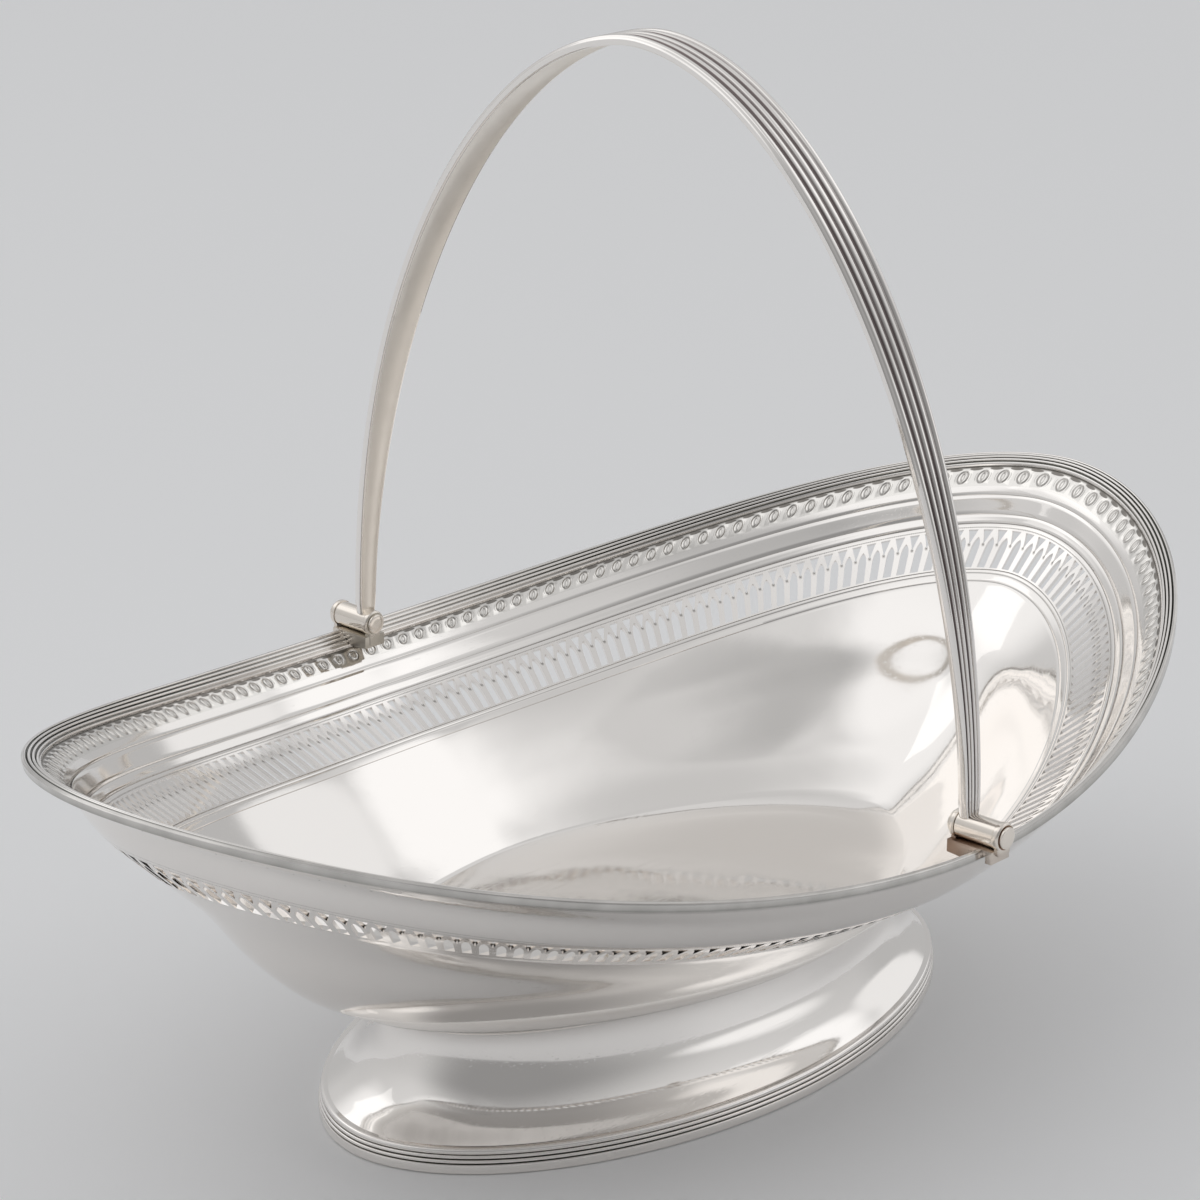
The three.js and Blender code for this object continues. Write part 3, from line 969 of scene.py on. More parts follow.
@dataclass
class BowlBody:
    """The floor and wall of the bowl, up to the engraved line under the gallery."""

    face: BowlFace
    columns: int = 384
    floor_rows: tuple[float, ...] = (-1, -0.7, -0.45, -0.25, -0.12, -0.09, -0.06, -0.03, -0.01)
    under_rows: tuple[float, ...] = (-0.03, -0.08, -0.12, -0.3, -1.0)
    floor_edge_cavity: float = 0.05
    lines: tuple[float, ...] = (4.0, 4.72)
    line_margin: float = 0.05
    plain_to: float = 4.65
    outside_rows: int = 31
    # painted shade on the outside, darkening down to the underside, which reflects the shadowed
    # floor
    underside_painted_shade: float = 0.5
    painted_shade_top: float = 3.0
    sharp_angle: float = 38.0

    def profile(self) -> list[tuple[float, float, float]]:
        """Rows of height, lift and cavity: up the inside and down the outside.

        Returns:
            The rows, in their order round the section.
        """
        cut = GroovedRows(self.face)
        rows = [(h, 0.0, 0.0) for h in self.floor_rows] + [(0.0, 0.0, self.floor_edge_cavity)]
        first, second = self.lines
        for low in range(int(first)):
            rows += cut.plain(low, low + 1, 9)
            if low + 1 < first:
                rows.append((low + 1.0, 0.0, 0.0))
        rows += cut.groove(first)
        rows += cut.plain(first + self.line_margin, self.plain_to, 4)
        rows += cut.groove(second)
        top = float(self.face.gallery_foot)
        rows.append((top + self.face.height_step(top, -cut.half_width), 0.0, cut.edge_cavity))
        rows.append((top, -cut.depth, cut.deep_cavity))
        # the outside darkens towards the underside: painted shade
        underside_shade = self.underside_painted_shade
        outside = [
            (h, -self.face.sheet, underside_shade * (1 - min(h / self.painted_shade_top, 1)))
            for h in np.linspace(top, 0, self.outside_rows)
        ]
        outside += [(h, -self.face.sheet, underside_shade) for h in self.under_rows]
        return rows + outside

    def build(self, finish: bpy.types.Material) -> bpy.types.Object:
        """Makes and dresses the piece.

        Args:
            finish: Its silver.

        Returns:
            The dressed piece.
        """
        def place(around: np.ndarray, height: np.ndarray, lift: np.ndarray) -> np.ndarray:
            """Points of the body."""
            return self.face.lifted(height, self.face.even_angle(around), lift)

        piece = lathe_grid("bowl_body", self.columns, self.profile(), place, self.sharp_angle)
        dress(piece, Body.BASKET, Slot.SHEET, "bowl", finish)
        return piece


@dataclass
class SheetTile:
    """A flat tile of pierced or engraved sheet that is repeated round the bowl.

    A tile is one unit wide round x = 0, its y is the height along the levels, and marks named
    lift and cavity say how deep a vertex is cut.
    """

    count: int

    def finish_tile(self, tile: bpy.types.Object, lift: np.ndarray, cavity: np.ndarray) -> None:
        """Keeps the marks on a tile's vertices."""
        set_marks(tile, "lift", lift)
        set_marks(tile, "cavity", cavity)

    def wrap(self, tile: bpy.types.Object, face: BowlFace, degrees: float) -> None:
        """Repeats a tile, gives it the sheet's thickness and lays it on the bowl.

        Args:
            tile: The flat tile.
            face: The bowl's face.
            degrees: The angle over which an edge is shaded sharp.
        """
        apply_modifier(
            tile,
            "ARRAY",
            count=self.count,
            use_relative_offset=False,
            use_constant_offset=True,
            constant_offset_displace=(1.0, 0.0, 0.0),
            use_merge_vertices=True,
            merge_threshold=FLAT_MERGE,
        )
        apply_modifier(tile, "SOLIDIFY", thickness=1.0, offset=-1.0, use_rim=True)
        flat = points_of(tile)
        middles = face_middles(tile)
        first, last = flat[:, 0].min() + SMALL_STEP, flat[:, 0].max() - SMALL_STEP
        delete_faces(tile, (middles[:, 0] < first) | (middles[:, 0] > last), "ONLY_FACE")
        flat = points_of(tile)
        around = (flat[:, 0] + 0.5) / self.count
        set_pattern_map(tile, around, flat[:, 1])
        back = flat[:, 2] < -0.5
        lift = np.where(back, -face.sheet, marks_of(tile, "lift"))
        self.finish_tile(tile, lift, np.where(back, 0.0, marks_of(tile, "cavity")))
        set_marks(tile, "height", flat[:, 1])
        place_points(tile, face.lifted(flat[:, 1], face.even_angle(around), lift) * MM)
        close_seams(tile)
        smooth_faces(tile, degrees)


@dataclass
class GalleryTile(SheetTile):
    """One slot of the gallery, half a pillar on each side, and the openings over them."""

    count: int = 192
    base: float = 5.0
    rows: tuple[tuple[float, float, float, float], ...] = (
        # of the right half: slot height, slot edge, opening height, opening edge
        (0.0, 0.30, 0.0, 0.43),
        (0.012, 0.30, 0.012, 0.43),
        (0.06, 0.30, 0.06, 0.43),
        (0.28, 0.29, 0.28, 0.43),
        (0.48, 0.285, 0.48, 0.43),
        (0.545, 0.27, 0.575, 0.485),
        (0.60, 0.235, 0.645, 0.42),
        (0.65, 0.175, 0.715, 0.345),
        (0.69, 0.09, 0.79, 0.26),
        (0.72, 0.0, 0.87, 0.17),
        (0.87, 0.0, 0.87, 0.17),
        (0.94, 0.0, 0.94, 0.17),
        (0.988, 0.0, 0.988, 0.17),
        (1.0, 0.0, 1.0, 0.17),
    )
    slot_rows: tuple[int, int] = (2, 9)
    opening_rows: tuple[int, int] = (5, 9)
    groove_depth: float = 0.13
    line_cavity: float = 0.7
    plain_cavity: float = 0.06
    opening_cavity: float = 0.75
    sharp_angle: float = 38.0

    def build_tile(self) -> bpy.types.Object:
        """Shapes the tile from a grid of six columns, and opens its slot and openings.

        Returns:
            The flat tile.
        """
        columns, rows = 6, len(self.rows) - 1
        middle = columns // 2
        tile = grid_piece("pierced_gallery", columns, rows)
        column, row = grid_cells(tile, columns, rows)
        table = np.array(self.rows)
        side = np.sign(column - middle)
        step = np.abs(column - middle)
        slot_y, slot_x, open_y, open_x = table[row].T
        centre_y = np.where(row < self.slot_rows[1], slot_y, open_y)
        centre_y = np.where(row == self.slot_rows[1], table[self.slot_rows[1], 0], centre_y)
        steps = [step == 0, step == 1, step == 2]
        x = np.select(steps, [0 * slot_x, slot_x, open_x], 0.5)
        y = np.select(steps, [centre_y, slot_y, open_y], open_y)
        place_points(tile, np.column_stack([side * x, self.base + y, 0 * x]))
        first, last = self.slot_rows
        cells_column, cells_row = self._cells(tile, column, row)
        inner = np.isin(cells_column, (middle - 1, middle))
        slot = inner & (cells_row >= first) & (cells_row < last)
        low, high = self.opening_rows
        outer = np.isin(cells_column, (0, columns - 1))
        over = outer & (cells_row >= low) & (cells_row < high)
        line = (row == 0) | (row == rows)
        lift = np.where(line, -self.groove_depth, 0.0)
        cavity = np.where(line, self.line_cavity, self.plain_cavity)
        cavity = np.where((row == low) & (step >= 2), self.opening_cavity, cavity)
        self.finish_tile(tile, lift, cavity)
        delete_faces(tile, slot | over)
        close_seams(tile, FLAT_MERGE, turn=False)
        return tile

    @staticmethod
    def _cells(
        tile: bpy.types.Object, column: np.ndarray, row: np.ndarray
    ) -> tuple[np.ndarray, np.ndarray]:
        """The column and row of each face, from its vertices."""
        corners = np.array([list(polygon.vertices) for polygon in tile.data.polygons])
        return column[corners].min(axis=1), row[corners].min(axis=1)

    def build(self, face: BowlFace, finish: bpy.types.Material) -> bpy.types.Object:
        """Makes and dresses the gallery.

        Args:
            face: The bowl's inner face.
            finish: Its silver.

        Returns:
            The dressed piece.
        """
        tile = self.build_tile()
        self.wrap(tile, face, self.sharp_angle)
        dress(tile, Body.BASKET, Slot.SHEET, "bowl", finish)
        return tile


@dataclass(frozen=True)
class CutStroke:
    """One engraved oval: its half sizes, the fade of its line, its strength and its reach."""

    wide: float
    tall: float
    edge: float
    core: float
    strength: float
    reach: tuple[float, ...] = ()


@dataclass
class BrightCutTile(SheetTile):
    """One motif of the bright-cut border, with the plain flare under it."""

    count: int = 156
    middle: float = 0.45
    corners: int = 12
    rings: tuple[tuple[float, float, float], ...] = (
        # share of the oval's size, lift, cavity
        (1.2, 0.04, 0.0),
        (1.0, -0.17, 0.45),
        (0.82, 0.03, 0.0),
        (0.4, 0.08, 0.0),
        (0.0, -0.12, 0.4),
    )
    wide: float = 0.25
    tall: float = 0.31
    core: float = 0.62
    strokes: tuple[CutStroke, ...] = (
        CutStroke(0.25, 0.31, 0.2, 0.05, 0.5),
        CutStroke(0.07, 0.19, 0.5, 0.2, 0.5),
        CutStroke(0.37, 0.40, 0.08, 0.03, 0.35, (0.24, 0.14)),
    )
    lens_middle: float = 0.42
    lens_wide: float = 0.33
    lens_tall: float = 0.085
    sheet_top: float = 0.44
    lines: tuple[float, ...] = (6.24, 6.74)
    line_margin: float = 0.02
    # the dark of the strip under the moulding and of the motif's top edge is painted shadow under
    # the moulding
    hidden_cavity: float = 0.9
    sharp_angle: float = 42.0

    def plain_strip(self, heights: list[tuple[float, float, float]]) -> bpy.types.Object:
        """A strip of the tile with even columns, its rows at given heights.

        Args:
            heights: Rows of height, lift and cavity.

        Returns:
            The strip.
        """
        columns = self.corners // 4
        strip = grid_piece("plain_strip", columns, len(heights) - 1)
        column, row = grid_cells(strip, columns, len(heights) - 1)
        table = np.array(heights)
        x = column / columns - 0.5
        place_points(strip, np.column_stack([x, table[row, 0], 0 * x]))
        self.finish_tile(strip, table[row, 1], table[row, 2])
        return strip

    def motif(self, face: BowlFace) -> bpy.types.Object:
        """The oval and its surround, from a grid bent into rings inside the tile's border.

        Args:
            face: The bowl's inner face.

        Returns:
            The flat motif, with its lift and cavity marked.
        """
        rows = len(self.rings)
        piece = grid_piece("motif", self.corners, rows)
        column, row = grid_cells(piece, self.corners, rows)
        quarter = self.corners // 4
        side = (column % self.corners) // quarter
        along = (column % quarter) / quarter
        sides = [side == 0, side == 1, side == 2]
        border_x = np.select(sides, [along - 0.5, 0.5, 0.5 - along], -0.5)
        border_y = np.select(sides, [0.0, along, 1.0], 1 - along)
        angle = np.arctan2((border_y - self.middle) / self.tall, border_x / self.wide)
        table = np.vstack([[0, 0, 0], np.array(self.rings)])
        share = table[row, 0]
        high = np.maximum(share, self.core)
        x = np.where(row == 0, border_x, np.cos(angle) * self.wide * share)
        y = np.where(row == 0, border_y, self.middle + np.sin(angle) * self.tall * high)
        place_points(piece, np.column_stack([x, face.band_foot + y, 0 * x]))
        # painted shadow along the motif's top edge, under the moulding
        top = (row == 0) & (border_y > 1 - SMALL_STEP)
        cavity = np.where(top, self.hidden_cavity, table[row, 2])
        self.finish_tile(piece, table[row, 1], cavity)
        return piece

    def build(
        self, face: BowlFace, plain: bpy.types.Material, cut: bpy.types.Material
    ) -> bpy.types.Object:
        """Makes and dresses the flare with its border.

        Args:
            face: The bowl's inner face.
            plain: The sheet's silver.
            cut: The silver of the border.

        Returns:
            The dressed piece.
        """
        grooved = GroovedRows(face)
        top = float(face.gallery_top)
        band = float(face.band_foot)
        gap = self.line_margin
        first, second = self.lines
        rows = [(top, -grooved.depth, grooved.deep_cavity)]
        rows += [(top + face.height_step(top, grooved.half_width), 0.0, grooved.edge_cavity)]
        rows += grooved.plain(top + gap, first - gap, 3) + grooved.groove(first)
        rows += grooved.plain(first + gap, second - gap, 5) + grooved.groove(second)
        rows += grooved.plain(second + gap, band, 3) + [(band, 0.0, 0.0)]
        edge = float(face.moulding_foot)
        hidden = [(edge, 0.0, self.hidden_cavity), (edge + self.sheet_top, 0.0, self.hidden_cavity)]
        parts = [self.plain_strip(rows), self.motif(face), self.plain_strip(hidden)]
        tile = join_pieces(parts)
        tile.name = "engraved_flare"
        tile.data.name = "engraved_flare"
        close_seams(tile, FLAT_MERGE)
        self._face_up(tile)
        self.wrap(tile, face, self.sharp_angle)
        dress(tile, Body.BASKET, Slot.SHEET, "bowl", plain, cut)
        inner = face_marks(tile, "lift") > -face.sheet / 2
        give_second_finish(tile, inner & (face_marks(tile, "height") > face.band_foot))
        return tile

    @staticmethod
    def _face_up(tile: bpy.types.Object) -> None:
        """Turns a flat tile over where its faces look down.

        Args:
            tile: The flat tile.
        """
        if tile.data.polygons[0].normal.z < 0:
            make_active(tile)
            bpy.ops.object.mode_set(mode="EDIT")
            bpy.ops.mesh.select_all(action="SELECT")
            bpy.ops.mesh.flip_normals()
            bpy.ops.object.mode_set(mode="OBJECT")


# The rim


@dataclass
class RimMoulding:
    """The reeded wire round the rim, notched for the hinges' saddles.

    Rows of its section: share of the width, lift off the face, cavity. Cavities fade along the
    boat's sides, apart from those below zero, which stay the same all round: these paint shade on
    the moulding's outer face.
    """

    face: BowlFace
    columns: int = 384
    reeds: int = 4
    reed_tops: tuple[float, ...] = (1.35, 1.4, 1.25, 0.85)
    reed_height: float = 0.42
    reed_points: int = 9
    reed_cavity: float = 0.8
    groove: float = 0.18
    half_groove: float = 0.02
    half_reed: float = 0.068
    inner_slope: float = 0.19
    inner_rows: tuple[tuple[float, float, float], ...] = (
        # the two lowest rows are dark with painted shadow where the moulding rises off the sheet
        (0.0, 0.02, 0.9),
        (0.02, 0.12, 0.6),
        (0.05, 0.5, 0.15),
        (0.09, 0.78, 0.0),
        (0.14, 0.86, 0.0),
        (0.185, 0.72, 0.7),
    )
    # painted shade on the outer half of the outermost reed and on the outer face (the rows below
    # zero)
    outer_painted_shade: float = -0.5
    outer_rows: tuple[tuple[float, float, float], ...] = (
        (0.995, 0.1, -0.5),
        (0.98, -0.1, -0.5),
        (0.93, -0.5, -0.52),
        (0.84, -1.0, -0.56),
        (0.80, -1.3, -0.6),
        (0.70, -1.3, -0.5),
        (0.5, -1.3, 0.5),
        (0.5, 0.02, 1.0),
    )
    side_tarnish: float = 0.55
    dark_from: float = 150.0
    notch_half: float = 3.55
    notch_low: float = 81.0
    notch_height: float = 12.0
    notch_inner: float = 98.3
    notch_outer: float = 113.3

    def profile(self) -> list[tuple[float, float, float]]:
        """The closed section.

        Returns:
            The rows, in their order round the section.
        """
        rows = list(self.inner_rows)
        first = self.inner_slope
        pitch = (1.0 - first) / self.reeds
        for reed, top in enumerate(self.reed_tops):
            centre = first + (reed + 0.5) * pitch
            foot = top - self.reed_height
            for turn in np.linspace(0, math.pi, self.reed_points):
                share = centre - math.cos(turn) * self.half_reed
                outermost = reed == self.reeds - 1 and turn > math.pi / 2
                dark = self.outer_painted_shade if outermost else self.reed_cavity * (1 - math.sin(turn))
                rows.append((share, foot + self.reed_height * math.sin(turn), dark))
            if reed + 1 < self.reeds:
                edge = first + (reed + 1) * pitch
                low = (foot + self.reed_tops[reed + 1] - self.reed_height) / 2 - self.groove
                rows += [(edge - self.half_groove, low, 1.0), (edge + self.half_groove, low, 1.0)]
        return rows + list(self.outer_rows) + rows[:1]

    def build(self, finish: bpy.types.Material) -> bpy.types.Object:
        """Makes, notches and dresses the moulding.

        Args:
            finish: Its silver.

        Returns:
            The dressed piece.
        """
        foot = self.face.moulding_foot

        def place(around: np.ndarray, share: np.ndarray, lift: np.ndarray) -> np.ndarray:
            """Points of the moulding."""
            return self.face.lifted(foot + share, self.face.even_angle(around), lift)

        piece = lathe_grid("reeded_rim", self.columns, self.profile(), place, SHARP_ANGLE)
        reach = np.clip(np.abs(points_of(piece)[:, 0]) / MM / self.dark_from, 0, 1)
        kept = self.side_tarnish + (1 - self.side_tarnish) * reach**2 * (3 - 2 * reach)
        cavity = marks_of(piece, "cavity")
        # cavities below zero are painted shade of the outer face and stay the same all round
        set_marks(piece, "cavity", np.where(cavity < 0, -cavity, cavity * kept))
        for side in (-1, 1):
            self._notch(piece, side)
        smooth_faces(piece, SHARP_ANGLE)
        dress(piece, Body.BASKET, Slot.MOULDING, "rim_moulding", finish)
        return piece

    def _notch(self, piece: bpy.types.Object, side: int) -> None:
        """Cuts the seat of one saddle.

        Args:
            piece: The moulding.
            side: -1 near or 1 far.
        """
        deselect_all()
        middle = side * (self.notch_inner + self.notch_outer) / 2
        at = (0, middle * MM, (self.notch_low + self.notch_height / 2) * MM)
        size = (2 * self.notch_half, self.notch_outer - self.notch_inner, self.notch_height)
        bpy.ops.mesh.primitive_cube_add(size=1.0, location=at, scale=[v * MM for v in size])
        cutter = bpy.context.object
        apply_modifier(piece, "BOOLEAN", operation="DIFFERENCE", object=cutter, solver="EXACT")
        bpy.data.objects.remove(cutter)


# The foot


@dataclass
class OvalFoot:
    """The spreading oval foot and the reeded wire round its edge."""

    levels: tuple[tuple[float, float, float], ...] = (
        (86.4, 45.4, 31.35),
        (84.9, 43.95, 30.6),
        (84.15, 43.25, 29.3),
        (84.0, 43.1, 27.2),
        (84.9, 43.8, 22.6),
        (87.0, 45.4, 17.1),
        (90.6, 48.4, 12.4),
        (94.1, 51.4, 9.4),
        (98.7, 55.5, 6.6),
    )
    squareness: float = 1.92
    sheet: float = 1.1
    columns: int = 320
    seam: tuple[tuple[float, float, float], ...] = ((87.9, 46.9, 31.75), (87.6, 46.6, 31.58))
    seam_cavities: tuple[float, ...] = (0.9, 0.6, 0.9)
    outside_rows: int = 64
    inside_rows: int = 21
    edge_drop: float = 0.9
    hem: float = 0.6
    wire_gap: float = 0.3
    wire_depth: float = 2.2
    wire_height: float = 6.5
    reeds_height: float = 4.95
    plain_height: float = 2.75
    hidden_cavity: float = 0.5
    base_rows: tuple[tuple[float, float, float], ...] = (
        # in from the wire's face, height, cavity
        (0.6, 0.0, 0.2),
        (0.15, 0.25, 0.1),
        (0.0, 0.6, 0.0),
        (0.0, 2.4, 0.0),
        (0.1, 2.6, 0.3),
    )
    top_rows: tuple[tuple[float, float, float], ...] = (
        # in from the foot's edge, over the wire's height, cavity
        (0.1, 0.05, 0.0),
        (0.8, 0.1, 0.3),
        (0.8, -0.5, 0.5),
        (0.0, -0.9, 0.5),
    )
    grooves: int = 2
    groove_depth: float = 0.5
    groove_height: float = 0.12
    reed_step: float = 0.1
    reed_start: float = 0.2
    reed_gap: float = 0.3
    reed_depth: float = 0.3
    reed_cavity: float = 0.4
    roll_radius: float = 0.85
    roll_rise: float = 0.7
    roll_start: float = -0.8
    lean: float = 0.25

    def oval(self, around: np.ndarray, x: np.ndarray, y: np.ndarray, z: np.ndarray) -> np.ndarray:
        """Points of an oval of the foot.

        Args:
            around: Shares of the way round.
            x: The half lengths along the boat.
            y: The half widths across it.
            z: The heights.

        Returns:
            The points, in millimetres.
        """
        angle = around * TURN
        return np.column_stack(
            [
                x * oval_term(np.cos(angle), self.squareness),
                y * oval_term(np.sin(angle), self.squareness),
                z,
            ]
        )

    def build_foot(self, finish: bpy.types.Material) -> bpy.types.Object:
        """Makes and dresses the foot.

        Args:
            finish: Its silver.

        Returns:
            The dressed piece.
        """
        curve = SmoothCurve(self.levels)
        edge = np.array(self.levels[-1])
        hem = np.array([edge - (0, 0, self.edge_drop), edge - (0, 0, edge[2] - self.hem)])
        outside = np.vstack([self.seam, curve.at(np.linspace(0, 1, self.outside_rows)), hem])
        back = curve.at(np.linspace(0, 1, self.inside_rows))
        ahead = np.gradient(back, axis=0)
        out = np.column_stack([-ahead[:, 2], -ahead[:, 2], ahead[:, 0]])
        out /= np.hypot(ahead[:, 0], ahead[:, 2])[:, None]
        inside = np.vstack([back - self.sheet * out, hem[1:] - (self.sheet, self.sheet, 0)])[::-1]
        inside[-1, 2] = self.seam[-1][2]
        table = np.vstack([outside, inside, outside[:1]])
        cavities = np.zeros(len(table))
        cavities[[0, 1, -1]] = self.seam_cavities
        rows = [(float(i), 0.0, float(cavity)) for i, cavity in enumerate(cavities)]

        def place(around: np.ndarray, row: np.ndarray, _: np.ndarray) -> np.ndarray:
            """Points of the foot."""
            x, y, z = table[np.rint(row).astype(int)].T
            return self.oval(around, x, y, z)

        piece = lathe_grid("spreading_foot", self.columns, rows, place, SHARP_ANGLE)
        dress(piece, Body.BASKET, Slot.SHEET, "foot", finish)
        return piece

    def wire_section(self) -> list[tuple[float, float, float]]:
        """The closed section of the wire: reach along the boat, height, cavity.

        Returns:
            The rows, in their order round the section.
        """
        inside = self.levels[-1][0] + self.wire_gap
        outside = inside + self.wire_depth
        rows = [(inside, 0.0, self.hidden_cavity)]
        rows += [(outside - inward, z, cavity) for inward, z, cavity in self.base_rows]
        pitch = (self.reeds_height - self.plain_height) / self.grooves
        for reed in range(self.grooves):
            face = outside - self.lean * reed - self.reed_step
            low = self.plain_height + reed * pitch
            rows += self._groove(face, low)
            for turn in np.linspace(0, math.pi, 8):
                z = low + self.reed_start + (pitch - self.reed_gap) * (1 - math.cos(turn)) / 2
                back = 1 - math.sin(turn)
                rows.append((face - self.reed_depth * back, z, self.reed_cavity * back))
        edge = face - self.lean
        rows += self._groove(edge, self.reeds_height)
        for turn in np.linspace(self.roll_start, math.pi / 2, 10):
            reach = edge - self.roll_radius * (1 - math.cos(turn))
            rise = self.reeds_height + self.roll_rise + self.roll_radius * math.sin(turn)
            rows.append((reach, rise, 0.0))
        rows += [(inside - inward, self.wire_height + z, dark) for inward, z, dark in self.top_rows]
        return rows + rows[:1]

    def _groove(self, face: float, low: float) -> list[tuple[float, float, float]]:
        """The two rows at the bottom of a groove.

        Args:
            face: The reach of the wire's face there.
            low: The height of its lower edge.

        Returns:
            Reach, height and cavity.
        """
        back = face - self.groove_depth
        return [(back, low, 1.0), (back, low + self.groove_height, 1.0)]

    def build_wire(self, finish: bpy.types.Material) -> bpy.types.Object:
        """Makes and dresses the wire.

        Args:
            finish: Its silver.

        Returns:
            The dressed piece.
        """
        narrower = self.levels[-1][0] - self.levels[-1][1]

        def place(around: np.ndarray, x: np.ndarray, z: np.ndarray) -> np.ndarray:
            """Points of the wire."""
            return self.oval(around, x, x - narrower, z)

        piece = lathe_grid(
            "reeded_foot_wire", self.columns, self.wire_section(), place, SHARP_ANGLE
        )
        dress(piece, Body.BASKET, Slot.MOULDING, "foot_moulding", finish)
        return piece


# The handle and its hinges


@dataclass
class StrapHandle:
    """The tapering reeded strap, hollow behind, bent into an arch."""

    half_width: float = 102.3
    foot_z: float = 87.0
    rise: float = 170.1
    squareness: float = 1.86
    thickness: float = 2.5
    start_z: float = 88.2
    axis_z: float = 85.7
    lean: float = 0.8
    reeds: int = 5
    steps: int = 260
    path_points: int = 6000
    half_reed: float = 0.34
    reed_foot: float = 0.26
    reed_rise: float = 0.24
    half_groove: float = 0.025
    groove_lift: float = 0.235
    groove_tarnish_and_shade: tuple[float, ...] = (0.3, 1.0, 0.75, 0.95, 0.6, 0.2)
    edge_rows: tuple[tuple[float, float, float], ...] = (
        (0.5, 0.1, 0.1),
        (0.5, -0.2, 0.1),
        (0.485, -0.42, 0.1),
        (0.46, -0.5, 0.0),
        (0.43, -0.49, 0.15),
    )
    half_hollow: float = 0.39
    hollow_lift: float = -0.24
    hollow_drop: float = 0.20
    hollow_power: float = 2.4
    hollow_cavity: float = 0.36
    soften: tuple[float, ...] = (0.02, 0.04)
    soft_from: float = 0.12
    widths: tuple[tuple[float, float], ...] = (
        (0.0, 4.4),
        (0.03, 6.1),
        (0.10, 6.3),
        (0.18, 7.2),
        (0.35, 9.3),
        (0.52, 11.1),
        (0.70, 12.5),
        (1.0, 13.6),
    )

    def section(self) -> list[tuple[float, float, float]]:
        """The closed section: across the width, out in thicknesses, cavity.

        Returns:
            The rows, in their order round the section.
        """
        rows: list[tuple[float, float, float]] = []
        pitch = 1 / self.reeds
        for reed in range(self.reeds):
            centre = (reed + 0.5) * pitch - 0.5
            for turn in np.linspace(0, math.pi, 8):
                across = centre - math.cos(turn) * pitch * self.half_reed
                near = turn < math.pi / 2
                # each flank darkens towards its groove: tarnish in the groove, and painted shade
                # over the reed's flank, wider on the near flank
                dark = self.groove_tarnish_and_shade[reed if near else reed + 1]
                dark *= math.cos(turn) ** 2 if near else 1 - math.sin(turn)
                rows.append((across, self.reed_foot + self.reed_rise * math.sin(turn), dark))
            if reed + 1 < self.reeds:
                edge = (reed + 1) * pitch - 0.5
                dark = self.groove_tarnish_and_shade[reed + 1]
                rows.append((edge - self.half_groove, self.groove_lift, dark))
                rows.append((edge + self.half_groove, self.groove_lift, dark))
        rows += self.edge_rows
        for across in np.linspace(self.half_hollow, -self.half_hollow, 13):
            share = abs(across) / self.half_hollow
            lift = self.hollow_lift - self.hollow_drop * share**self.hollow_power
            rows.append((across, lift, self.hollow_cavity))
        rows += [(-across, lift, dark) for across, lift, dark in reversed(self.edge_rows)]
        return rows + rows[:1]

    def width_at(self, share: np.ndarray) -> np.ndarray:
        """The strap's width at shares of the rise, smoothed between its stops.

        Args:
            share: Shares of the rise.

        Returns:
            The widths, in millimetres.
        """
        stops = np.array(self.widths)
        wide = np.interp(share, stops[:, 0], stops[:, 1])
        for shift in self.soften:
            low = np.interp(np.clip(share - shift, 0, 1), stops[:, 0], stops[:, 1])
            high = np.interp(np.clip(share + shift, 0, 1), stops[:, 0], stops[:, 1])
            soft = np.clip(share / self.soft_from, 0, 1)
            wide = wide + soft * ((low + high) / 2 - wide) / 2
        return wide

    def path(self) -> np.ndarray:
        """Evenly spaced points (y, z) of the arch, in millimetres.

        Returns:
            One row for each step along the strap.
        """
        low = (self.start_z - self.foot_z) / self.rise
        start = math.asin(low ** (self.squareness / 2))
        dense = np.linspace(math.pi - start, start, self.path_points)
        y = self.half_width * oval_term(np.cos(dense), self.squareness)
        z = self.foot_z + self.rise * oval_term(np.sin(dense), self.squareness)
        runs = np.concatenate([[0], np.cumsum(np.hypot(np.diff(y), np.diff(z)))])
        even = np.linspace(0, runs[-1], self.steps + 1)
        return np.column_stack([np.interp(even, runs, y), np.interp(even, runs, z)])

    def leaned(self, points: np.ndarray) -> np.ndarray:
        """The points with the arch leaned along the boat, about the hinges' axis.

        Args:
            points: Points of the upright strap, in millimetres.

        Returns:
            The leaned points.
        """
        turn = math.radians(self.lean)
        across, high = points[:, 0], points[:, 2] - self.axis_z
        x = across * math.cos(turn) - high * math.sin(turn)
        z = self.axis_z + across * math.sin(turn) + high * math.cos(turn)
        return np.column_stack([x, points[:, 1], z])

